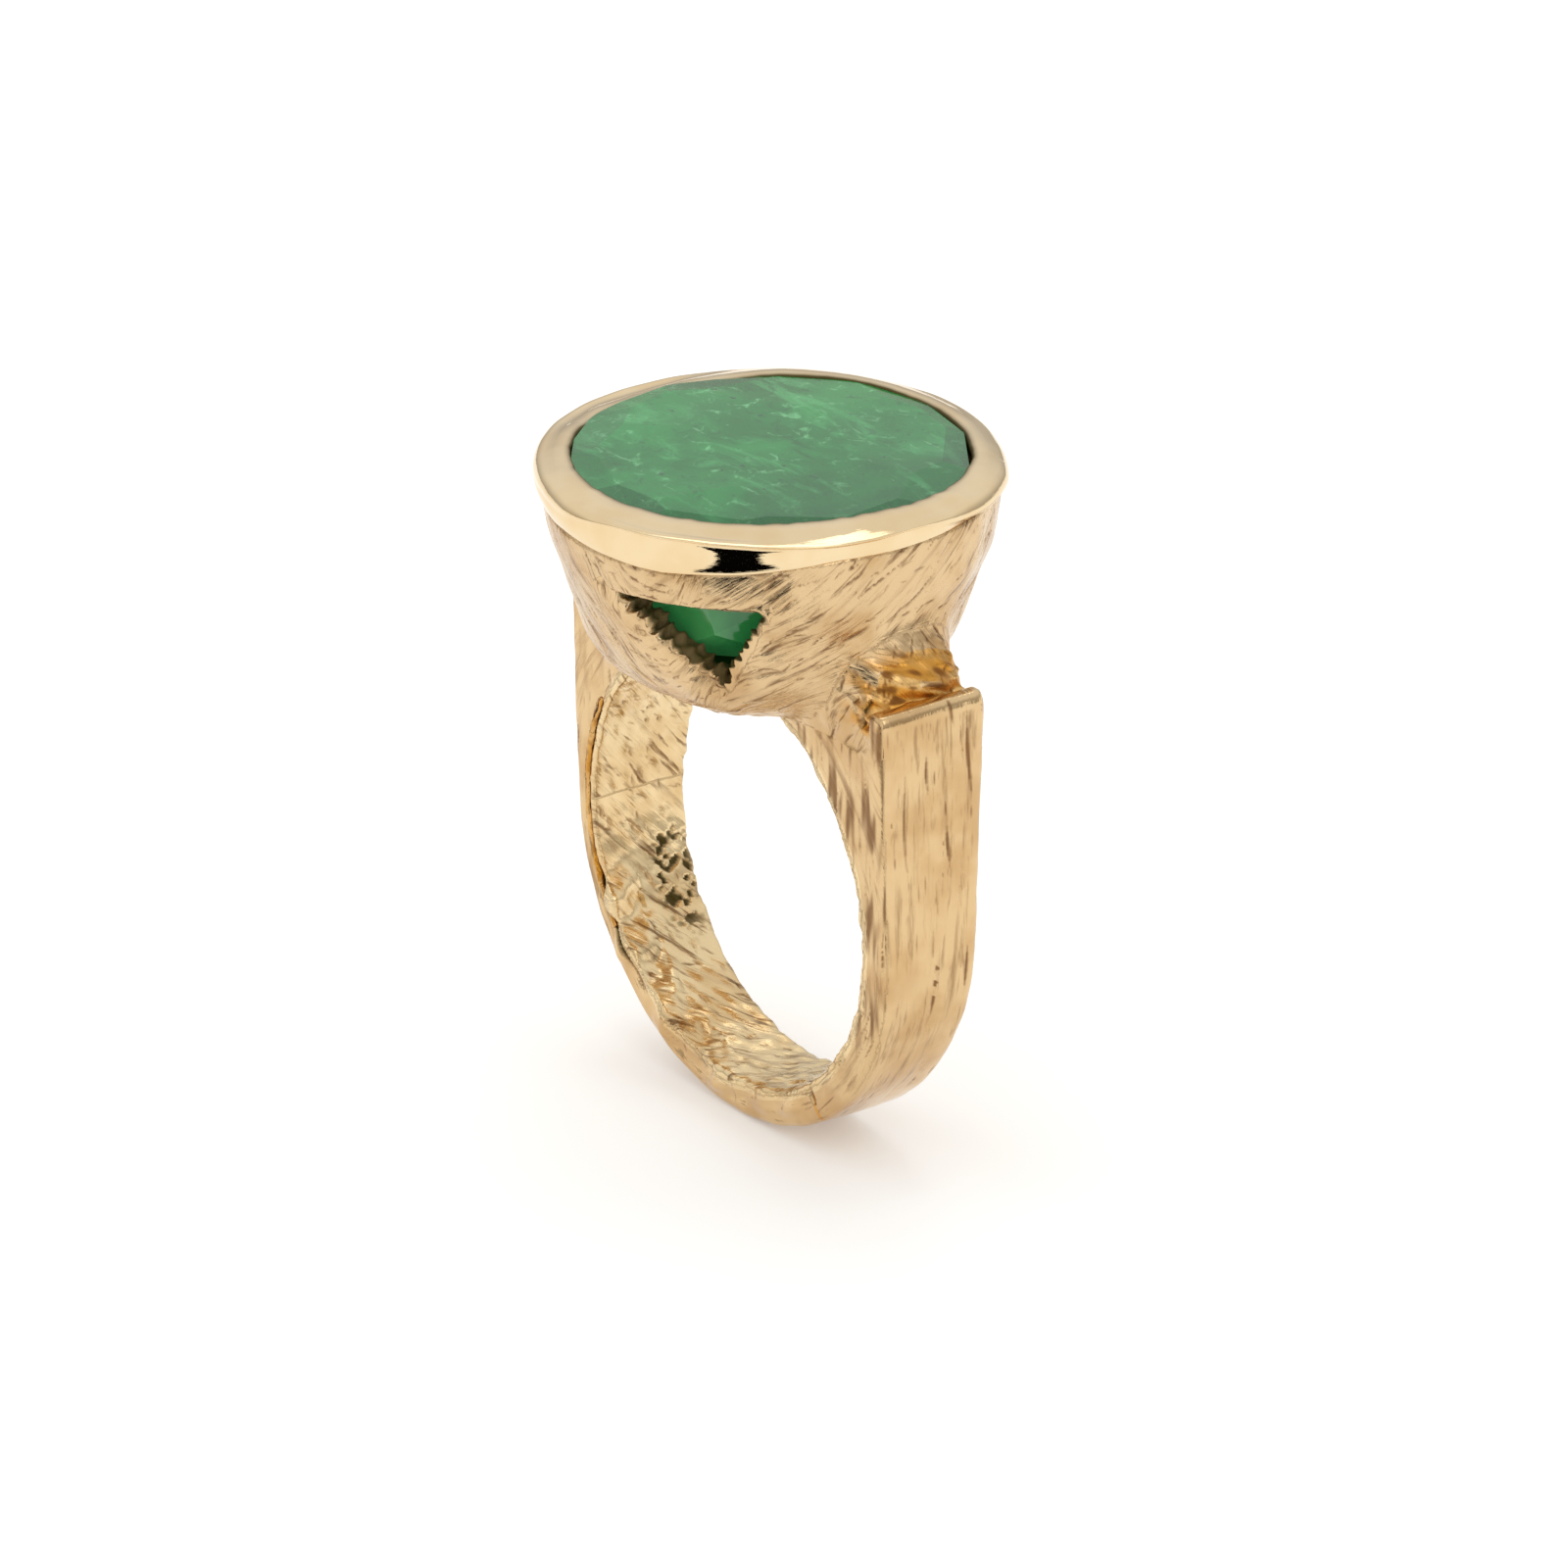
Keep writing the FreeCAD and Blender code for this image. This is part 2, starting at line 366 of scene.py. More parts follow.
def gold(name, polish, shade, worn, rough, grain=0.0, grain_rough=0.0, bands=0.0):
    """Worked yellow gold. Scratches run along the piece's flow, and hollows keep a brown patina.

    polish, shade: the clean metal and its duller patches; worn: the patina in hollows and scratches.
    rough: roughness of the clean metal; grain, bands: how much the scratches and the broad file
    marks darken, 0 to 1. The shine attribute marks what was buffed afterwards. A further mark paints
    shade in gaps, windows, cracks, pits and hidden walls: the metal there is painted dark, matt and less
    metallic.
    """
    tones = bpy.context.scene.ring_finish
    material, tree = new_material(name)
    flow = add(tree, "ShaderNodeAttribute", attribute_name="flow").outputs["Vector"]
    patina, soot, fire, shine = (add(tree, "ShaderNodeAttribute", attribute_name=mark).outputs["Fac"]
                                 for mark in ("patina", "soot", "fire", "shine"))
    place = add(tree, "ShaderNodeTexCoord").outputs["Object"]
    cloud = add(tree, "ShaderNodeTexNoise", {"Vector": place, "Scale": 420.0, "Detail": 3.0}).outputs["Fac"]
    # hairs an eighth of a millimetre apart and 2 mm long, deeper scratches a third of a millimetre
    # apart, and broad file marks two thirds of a millimetre apart and 8 mm long
    lines = []
    for per_mm, detail, break_up, bend in (
            ((0.5, 8.0, 1.0), 3.0, 0.6, 0.0), ((0.4, 3.2, 1.0), 4.0, 0.65, 0.3),
            ((0.13, 1.5, 1.0), 5.0, 0.6, 0.0)):
        space = add(tree, "ShaderNodeVectorMath", {0: flow, 1: per_mm}, operation="MULTIPLY").outputs[0]
        noise = add(tree, "ShaderNodeTexNoise", {"Vector": space, "Scale": 1.0, "Detail": detail,
                                                 "Roughness": break_up, "Distortion": bend})
        lines.append(noise.outputs["Fac"])
    hair, deep, filed = lines

    def unbuffed(most):
        return add(tree, "ShaderNodeMapRange", {0: shine, 1: 0.1, 2: 0.8, 3: most, 4: 0.0},
                   interpolation_type="SMOOTHSTEP").outputs[0]

    marked = paint(tree, polish, [
        (cloud, 0.4, 0.68, 1.0, shade), (filed, 0.53, 0.70, unbuffed(bands), worn),
        (deep, 0.53, 0.68, unbuffed(grain), worn), (fire, 0.0, 1.0, 0.8, tones.torch_colour),
        (patina, 0.15, 0.95, 0.9, worn)])
    # painted shade: a dark colour laid over the gaps, windows, cracks, pits and hidden walls
    burnt = add(tree, "ShaderNodeMix", {0: soot, 6: marked, 7: tuple(tones.painted_shade_colour)}, data_type="RGBA")
    scratched = add(tree, "ShaderNodeMapRange", {0: hair, 1: 0.3, 2: 0.75, 3: rough, 4: rough + grain_rough},
                    interpolation_type="SMOOTHSTEP")
    worked = add(tree, "ShaderNodeMath", {0: scratched.outputs[0], 1: unbuffed(1.0)}, operation="MULTIPLY")
    dull = add(tree, "ShaderNodeMath", {0: patina, 1: 0.35, 2: worked.outputs[0]}, operation="MULTIPLY_ADD")
    kept = add(tree, "ShaderNodeMapRange", {0: dull.outputs[0], 1: 0.0, 2: 1.0, 3: 0.05, 4: 0.85},
               interpolation_type="SMOOTHSTEP")
    # the painted shade also makes the metal matt, and below less metallic
    matt = add(tree, "ShaderNodeMath", {0: soot, 1: 0.5, 2: kept.outputs[0]}, operation="MULTIPLY_ADD",
               use_clamp=True)
    height = add(tree, "ShaderNodeMath", {0: hair, 1: deep}, operation="ADD")
    bump = add(tree, "ShaderNodeBump", {"Strength": 0.55 if grain else 0.12, "Distance": 0.00004,
                                        "Height": height.outputs[0]})
    metal = add(tree, "ShaderNodeMapRange", {0: soot, 1: 0.2, 2: 1.0, 3: 1.0, 4: 0.35},
                interpolation_type="SMOOTHSTEP")
    shader = add(tree, "ShaderNodeBsdfPrincipled", {
        "Base Color": burnt.outputs[2], "Roughness": matt.outputs[0], "Normal": bump.outputs[0],
        "Metallic": metal.outputs[0]})
    add(tree, "ShaderNodeOutputMaterial", {"Surface": shader.outputs[0]})
    return material


def emerald_material():
    """Cloudy, heavily included emerald, cut and polished: a green body with pale veils and dark flecks."""
    tones = bpy.context.scene.ring_finish
    material, tree = new_material("cloudy_emerald_polished")
    place = add(tree, "ShaderNodeTexCoord").outputs["Object"]
    # veils and threads are drawn out along the crystal, about 5 mm long
    drawn = []
    for turn, per_metre, detail, break_up, bend in ((-58, (220.0, 640.0, 400.0), 6.0, 0.62, 0.8),
                                                    (-47, (210.0, 1500.0, 700.0), 5.0, 0.7, 1.4)):
        space = add(tree, "ShaderNodeMapping", {"Vector": place, "Rotation": (0, 0, radians(turn)),
                                                "Scale": per_metre}).outputs[0]
        noise = add(tree, "ShaderNodeTexNoise", {"Vector": space, "Scale": 1.0, "Detail": detail,
                                                 "Roughness": break_up, "Distortion": bend})
        drawn.append(noise.outputs["Fac"])
    veil, thread = drawn
    # clouds of 4 mm, mottling of 0.9 mm and flecks of 0.5 mm
    cloud, mottle, fleck = (
        add(tree, "ShaderNodeTexNoise", {"Vector": place, "Scale": per_metre, "Detail": detail,
                                         "Roughness": break_up, "Distortion": bend}).outputs["Fac"]
        for per_metre, detail, break_up, bend in ((240.0, 4.0, 0.5, 0.4), (1100.0, 5.0, 0.7, 0.6),
                                                  (1900.0, 3.0, 0.5, 0.0)))
    deep, facet = (add(tree, "ShaderNodeAttribute", attribute_name=mark).outputs["Fac"]
                   for mark in ("depth", "facet"))
    # the crystal is darker towards one end
    far = add(tree, "ShaderNodeSeparateXYZ", {"Vector": place}).outputs["X"]
    above = paint(tree, tones.emerald_dark, [
        (cloud, 0.36, 0.66, 1.0, tones.emerald_light), (veil, 0.52, 0.72, 0.9, tones.emerald_veil),
        (thread, 0.63, 0.72, 0.8, "#80C68C"), (veil, 0.40, 0.28, 0.55, "#03481E"),
        (mottle, 0.56, 0.72, 0.8, "#74C887"), (mottle, 0.44, 0.30, 0.75, "#0E5F2C"),
        (fleck, 0.68, 0.75, 0.85, "#1F4A33"), (far, 0.0005, 0.0075, 0.5, "#0B5A28")])
    below = paint(tree, "#226834", [(cloud, 0.35, 0.65, 1.0, "#40864B")])
    whole = add(tree, "ShaderNodeMix", {0: deep, 6: above, 7: below}, data_type="RGBA").outputs[2]
    toned = add(tree, "ShaderNodeMix", {0: facet, 6: whole, 7: linear("#063F1C")},
                data_type="RGBA").outputs[2]
    bump = add(tree, "ShaderNodeBump", {"Strength": 0.25, "Distance": 0.00005, "Height": veil})
    # light that comes down through the table leaves the lower flats glowing a little
    glow = add(tree, "ShaderNodeMapRange", {0: deep, 1: 0.0, 2: 1.0, 3: 0.0, 4: 0.42},
               interpolation_type="SMOOTHSTEP")
    shader = add(tree, "ShaderNodeBsdfPrincipled", {
        "Base Color": toned, "Roughness": 0.1, "IOR": 1.58, "Normal": bump.outputs[0],
        "Emission Color": toned, "Emission Strength": glow.outputs[0],
        "Subsurface Weight": 0.3, "Subsurface Radius": (0.0004, 0.0012, 0.0007), "Subsurface Scale": 1.0})
    add(tree, "ShaderNodeOutputMaterial", {"Surface": shader.outputs[0]})
    return material


@cache
def golds():
    """The gold finishes, made once."""
    tones = bpy.context.scene.ring_finish
    return {
        # the collar: buffed to a mirror, so it shows the studio in soft bright bands
        "polished": gold("yellow_gold_polished", tones.gold_polished, "#E8CDA0", "#A8794A", 0.03),
        # the straps: filed and half polished, which leaves a satin sheen and long brown scratches; their
        # clean metal is also painted darker than the collar's, as shade from the darker studio they reflect
        "satin": gold("yellow_gold_filed_satin_shaded", tones.gold_satin, "#CCA878", "#86603C", 0.19, 0.5, 0.14,
                      0.6),
        # the cup and necks: cut with gravers, patina left in the cuts; their clean metal is painted darker
        # than the collar's too, as shade
        "carved": gold("yellow_gold_carved_shaded", tones.gold_carved, "#C9A678", "#6E4A2C", 0.21, 0.8, 0.16, 0.35),
        # the liner: carved the same way, then worn bright by the finger
        "worn": gold("yellow_gold_worn_bright", tones.gold_worn, "#DDBE8C", "#75502E", 0.2, 0.85, 0.18, 0.3),
        # under the collar: never polished, and painted dark as shade under the stone and collar
        "dark": gold("yellow_gold_unpolished_painted_shade", "#7A5F35", "#5C4625", "#3A2A10", 0.5, 0.5, 0.1),
        # gold solder: redder, frozen rough from the torch
        "solder": gold("gold_solder_torched", tones.gold_solder, "#CF9A4E", "#8A5A2A", 0.26, 0.4, 0.15)}


# ---------------------------------------------------------------- graver strokes, as Geometry Nodes

def stroke_tree():
    """Cuts strokes into a surface: short bowed lines scattered where a mask allows, along the grain."""
    tree, given = new_tree("graver_strokes", [
        ("Where", "NodeSocketString"), ("Density", "NodeSocketFloat"), ("Length", "NodeSocketFloat"),
        ("Width", "NodeSocketFloat"), ("Depth", "NodeSocketFloat"), ("Spread", "NodeSocketFloat"),
        ("Bow", "NodeSocketFloat"), ("Stain", "NodeSocketFloat"), ("Seed", "NodeSocketInt"),
        ("Material", "NodeSocketMaterial")])
    named = "GeometryNodeInputNamedAttribute"
    mask = add(tree, named, {"Name": given["Where"]}, data_type="FLOAT").outputs[0]
    chosen = add(tree, "FunctionNodeCompare", {0: mask, 1: 0.5}, data_type="FLOAT", operation="GREATER_THAN")
    scatter = add(tree, "GeometryNodeDistributePointsOnFaces", {
        "Mesh": given["Geometry"], "Selection": chosen.outputs[0], "Density": given["Density"],
        "Seed": given["Seed"]})
    grain = add(tree, named, {"Name": "grain"}, data_type="FLOAT_VECTOR").outputs[0]
    lie = add(tree, "FunctionNodeAxesToRotation", {
        "Primary Axis": scatter.outputs["Normal"], "Secondary Axis": grain},
        primary_axis="Z", secondary_axis="X")

    def drawn(low, high, order):
        """A random number for each stroke."""
        seed = add(tree, "ShaderNodeMath", {0: given["Seed"], 1: float(order)}, operation="ADD").outputs[0]
        return add(tree, "FunctionNodeRandomValue", {2: low, 3: high, "Seed": seed},
                   data_type="FLOAT").outputs[1]

    # each stroke lies along the grain, give or take its spread
    least = add(tree, "ShaderNodeMath", {0: given["Spread"], 1: -1.0}, operation="MULTIPLY").outputs[0]
    spin = add(tree, "FunctionNodeAxisAngleToRotation", {
        "Axis": (0, 0, 1), "Angle": drawn(least, given["Spread"], 11)})
    turned = add(tree, "FunctionNodeRotateRotation", {0: lie.outputs[0], 1: spin.outputs[0]},
                 rotation_space="LOCAL")
    # the stroke itself: a bowed line that swells in the middle
    line = add(tree, "GeometryNodeMeshLine", {
        "Count": 10, "Start Location": (-0.5, 0, 0), "Offset": (0.5, 0, 0)}, mode="END_POINTS")
    here = add(tree, "GeometryNodeInputPosition").outputs[0]
    along = add(tree, "ShaderNodeSeparateXYZ", {0: here}).outputs[0]
    square = add(tree, "ShaderNodeMath", {0: along, 1: along}, operation="MULTIPLY").outputs[0]
    swell = add(tree, "ShaderNodeMath", {0: square, 1: -3.6, 2: 1.0}, operation="MULTIPLY_ADD").outputs[0]
    swelling = add(tree, "GeometryNodeStoreNamedAttribute", {"Geometry": line.outputs[0], "Name": "swell",
                                                             "Value": swell}, data_type="FLOAT")
    bow = add(tree, "ShaderNodeCombineXYZ", {1: square}).outputs[0]
    bowed = add(tree, "GeometryNodeSetPosition", {"Geometry": swelling.outputs[0], "Offset": bow})
    forced = add(tree, "GeometryNodeStoreNamedAttribute", {
        "Geometry": scatter.outputs["Points"], "Name": "force", "Value": drawn(0.25, 1.15, 12)},
        data_type="FLOAT")
    long = add(tree, "ShaderNodeMath", {0: given["Length"], 1: drawn(0.4, 1.5, 13)},
               operation="MULTIPLY").outputs[0]
    unbow = add(tree, "ShaderNodeMath", {0: given["Bow"], 1: -1.0}, operation="MULTIPLY").outputs[0]
    side = add(tree, "ShaderNodeMath", {0: long, 1: drawn(unbow, given["Bow"], 14)},
               operation="MULTIPLY").outputs[0]
    size = add(tree, "ShaderNodeCombineXYZ", {0: long, 1: side, 2: 1.0}).outputs[0]
    placed = add(tree, "GeometryNodeInstanceOnPoints", {
        "Points": forced.outputs[0], "Instance": bowed.outputs[0], "Rotation": turned.outputs[0],
        "Scale": size})
    # the surface sinks near each line, and keeps a stain there
    lines = add(tree, "GeometryNodeRealizeInstances", {0: placed.outputs[0]}).outputs[0]
    distance = add(tree, "GeometryNodeProximity", {0: lines}, target_element="EDGES").outputs["Distance"]
    nearest = add(tree, "GeometryNodeSampleNearest", {0: lines}).outputs[0]
    swelling, force = (add(tree, "GeometryNodeSampleIndex", {
        "Geometry": lines, "Index": nearest,
        "Value": add(tree, named, {"Name": name}, data_type="FLOAT").outputs[0]}).outputs[0]
        for name in ("swell", "force"))
    wide = add(tree, "ShaderNodeMath", {0: given["Width"], 1: swelling}, operation="MULTIPLY").outputs[0]
    cut = add(tree, "ShaderNodeMapRange", {0: distance, 1: wide, 2: 0.0},
              interpolation_type="SMOOTHSTEP").outputs[0]
    power = add(tree, "ShaderNodeMath", {0: swelling, 1: force}, operation="MULTIPLY").outputs[0]
    for factor in (power, mask):
        cut = add(tree, "ShaderNodeMath", {0: cut, 1: factor}, operation="MULTIPLY").outputs[0]
    push = cut
    for factor in (given["Depth"], -1.0):
        push = add(tree, "ShaderNodeMath", {0: push, 1: factor}, operation="MULTIPLY").outputs[0]
    normal = add(tree, "GeometryNodeInputNormal").outputs[0]
    offset = add(tree, "ShaderNodeVectorMath", {0: normal, 3: push}, operation="SCALE").outputs[0]
    stain = add(tree, "ShaderNodeMath", {0: cut, 1: given["Stain"]}, operation="MULTIPLY").outputs[0]
    old = add(tree, named, {"Name": "patina"}, data_type="FLOAT").outputs[0]
    worst = add(tree, "ShaderNodeMath", {0: old, 1: stain}, operation="MAXIMUM").outputs[0]
    stained = add(tree, "GeometryNodeStoreNamedAttribute", {
        "Geometry": given["Geometry"], "Name": "patina", "Value": worst}, data_type="FLOAT")
    sunk = add(tree, "GeometryNodeSetPosition", {"Geometry": stained.outputs[0], "Offset": offset})
    return close_tree(tree, sunk.outputs[0], given["Material"])


# ---------------------------------------------------------------- the gold body

BODY_NODES = ["setting_cup", "neck_left", "neck_right", "shoulder_solder_left", "shoulder_solder_right",
              "inner_band", "strap_left", "strap_right", "sizing_seam"]


def cast_body(grain_size):
    """All carved gold as one skin, the way it looks once soldered and worked over."""
    joined = bmesh.new()
    for name in BODY_NODES:
        part = frame["nodes"][name].data.copy()
        part.transform(Matrix.Scale(1 / MM, 4))
        single = bmesh.new()
        single.from_mesh(part)
        bmesh.ops.remove_doubles(single, verts=single.verts, dist=1e-4)
        single.to_mesh(part)
        single.free()
        joined.from_mesh(part)
    body = new_object("gold_body", as_mesh(joined, "gold_body"))
    remesh = body.modifiers.new("skin", "REMESH")
    remesh.mode = "VOXEL"
    remesh.voxel_size = grain_size
    remesh.adaptivity = 0
    return bake(body)


def window_places(points, turn):
    """Distance out from the axis, distance along the wall and height, facing one window."""
    out = points[:, 0] * cos(turn) + points[:, 1] * sin(turn)
    along = points[:, 1] * cos(turn) - points[:, 0] * sin(turn)
    return out, along, points[:, 2]


def saw_window(points, depth, turn, sizes, seed):
    """Bites along a window's two slanted walls, as a piercing saw and drill leave them, and how much painted
    shade each wall point gets.
    """
    out, along, height = window_places(points, turn)
    draw = np.random.default_rng(seed)
    moved = points.copy()
    top, apex = sizes.window_top, sizes.window_apex
    opening = np.zeros(len(points))
    for end in (-sizes.window_width / 2, sizes.window_width / 2):
        edge = np.array([sizes.window_shift - end, apex - top])
        length = np.hypot(*edge)
        edge /= length
        away = np.array([edge[1], -edge[0]])
        if away[0] * end < 0:
            away = -away
        run = (along - end) * edge[0] + (height - top) * edge[1]
        gap = (along - end) * away[0] + (height - top) * away[1]
        near = smoothstep(0.4, 0.05, abs(gap)) * (run > -0.3) * (run < length + 0.3) * (out > 2)
        near *= smoothstep(-0.6, -0.2, depth) * (depth < 3)
        bites = draw.uniform(0.25, 1.25, 40)
        taper, inset = (0.38, 0.38) if end < 0 else (0.12, 0.0)
        number = run / sizes.bite_width + 0.45 * np.sin(run * 1.9 + seed) + 0.12 * np.sin(out * 3.0 + run)
        bite = abs(np.sin(pi * number)) ** 0.7 * bites[np.clip(np.floor(number).astype(int) + 3, 0, 39)]
        bite += 0.35 * wander(points, 0.5, seed + 5)
        push = near * ((bite - 0.35) * sizes.bite_depth - taper * smoothstep(0.1, 1.1, depth) - inset)
        side = np.array([-sin(turn), cos(turn), 0]) * away[0] + np.array([0, 0, away[1]])
        moved += push[:, None] * side
        opening = np.maximum(opening, near * np.clip(1.1 - 0.7 * bite, 0.3, 1))
    return moved, opening


def survey(body, sizes):
    """Marks where each tool worked and which way it ran, as attributes on the gold's points."""
    mesh = body.data
    points, normals = read(mesh, "co"), read(mesh, "normal")
    x, y, z = points.T
    across = x - band_offset
    drop = z - arc_z
    ring = np.hypot(x, z)
    depth = bowl_radius(z) - oval_radius(points)
    turn = np.arctan2(y, x)
    side = np.sign(across)
    flank = abs(normals[:, 1]) > 0.6
    on_liner = smoothstep(liner_radius - 0.12, liner_radius - 0.3, ring)
    on_bowl = smoothstep(0.45, 0.2, abs(depth)) * (z > 8.5)
    on_bowl = on_bowl * smoothstep(liner_radius, liner_radius + 0.25, ring)
    outward = (normals[:, 0] * x + normals[:, 1] * y) / np.hypot(x, y)
    outer_skin = smoothstep(0.25, 0.5, outward)
    inside = smoothstep(0.12, 0.4, depth) * (z > liner_radius + 0.45) * (1 - outer_skin)
    shoulder = smoothstep(pocket_x - 0.05, pocket_x + 0.1, abs(across))
    on_strap = np.maximum(shoulder, smoothstep(pocket_z + 0.05, pocket_z - 0.1, z)) * (1 - on_liner)
    on_neck = np.clip(1 - on_strap - on_liner - on_bowl - inside, 0, 1) * (z > pocket_z)
    # along the band: straight up the sides and round the bottom
    radius = np.hypot(across, drop) + 1e-6
    straight = drop >= 0
    tangent = np.stack([np.where(straight, 0, -drop * side / radius), 0 * x,
                        np.where(straight, 1, abs(across) / radius)], 1)
    band_run = np.where(straight, drop, side_x * np.arctan2(drop, abs(across)))
    band_flow = np.stack([band_run, np.where(flank, radius * 0.9, y), side * 3 + flank], 1)
    # round the cup: rising to the right of the front window and falling to the left of it
    start = sizes.window_turn - radians(12)
    swing = (turn - start + pi) % tau - pi
    slant = np.radians(np.interp(np.degrees(swing), [-180, -60, -15, 20, 110, 180],
                                 [-20, -50, -38, 26, 30, -20]))
    arc = swing * 8.4
    cup_flow = np.stack([arc * np.cos(slant) + z * np.sin(slant),
                         z * np.cos(slant) - arc * np.sin(slant), 0 * x], 1)
    round_cup = np.stack([-np.sin(turn), np.cos(turn), 0 * x], 1)
    up_cup = np.cross(normals, round_cup)
    up_cup *= np.sign(up_cup[:, 2:3] + 1e-9)
    cup_grain = round_cup * np.cos(slant)[:, None] + up_cup * np.sin(slant)[:, None]
    # down each neck, slanting in towards the finger
    lean = radians(58)
    neck_grain = np.stack([side * cos(lean), 0 * x, 0 * x + sin(lean)], 1)
    neck_flow = np.stack([abs(across) * cos(lean) + z * sin(lean),
                          z * cos(lean) - abs(across) * sin(lean) + y, side * 5], 1)
    # inside the finger hole, slanting across
    hole = np.arctan2(z, x)
    hole_tangent = np.stack([-np.sin(hole), 0 * x, np.cos(hole)], 1)
    liner_grain = 0.75 * hole_tangent + np.array([0, 0.66, 0])
    liner_flow = np.stack([hole * 6.5 + y * 0.66, y * 0.75 - hole * 5.7, 0 * x + 9], 1)
    grain, flow = tangent.copy(), band_flow.copy()
    for mask, its_grain, its_flow in ((on_liner, liner_grain, liner_flow), (on_neck, neck_grain, neck_flow),
                                      (on_bowl, cup_grain, cup_flow)):
        grain[mask > 0.5] = its_grain[mask > 0.5]
        flow[mask > 0.5] = its_flow[mask > 0.5]
    write(mesh, "grain", grain)
    write(mesh, "flow", flow)
    outer = on_strap * ~flank * (ring > liner_radius + 0.35)
    marks = {"on_cup": on_bowl, "on_neck": on_neck, "on_liner": on_liner, "on_face": outer,
             "on_flank": on_strap * flank, "inside": inside, "outer_skin": outer_skin,
             "known": np.ones(len(x))}
    for name, values in marks.items():
        write(mesh, name, values.astype(float))
    return points, normals, depth, marks


def soften(body, sizes):
    """Runs the necks into the cup with a fillet, and takes the sharpness off every other edge."""
    mesh = body.data
    points, pairs = read(mesh, "co"), read_pairs(mesh)
    across = abs(points[:, 0] - band_offset)
    ring = np.hypot(points[:, 0], points[:, 2])
    depth = bowl_radius(points[:, 2]) - oval_radius(points)
    height = points[:, 2]
    joint = smoothstep(2.6, 1.6, abs(depth)) * smoothstep(pocket_x - 0.05, pocket_x - 0.45, across)
    joint *= smoothstep(liner_radius + 0.1, liner_radius + 0.7, ring) * smoothstep(13.6, 12.6, height)
    joint *= smoothstep(3.4, 4.6, across) * smoothstep(0.5, 0.1, depth)
    joint *= smoothstep(pocket_z - 0.3, pocket_z + 0.8, height)
    points = relax(points, pairs, 0.9 * joint, sizes.fillet_rounds)
    points = relax(points, pairs, np.full(len(points), 0.5), 5)
    write(mesh, "co", points)


def strap_half(height):
    """Half the band's width at a height: narrow at the bottom and wide at the shoulders."""
    return band_low_half + (band_high_half - band_low_half) * (height - bottom_z) / (shoulder_z - bottom_z)


def climb(facing):
    """How far the carved skin climbs over the collar's foot, by the direction seen from above."""
    return 0.7 * np.interp(facing, [-180, -62, -20, 100, 150, 180], [0, 0, 1, 1, 0.3, 0])


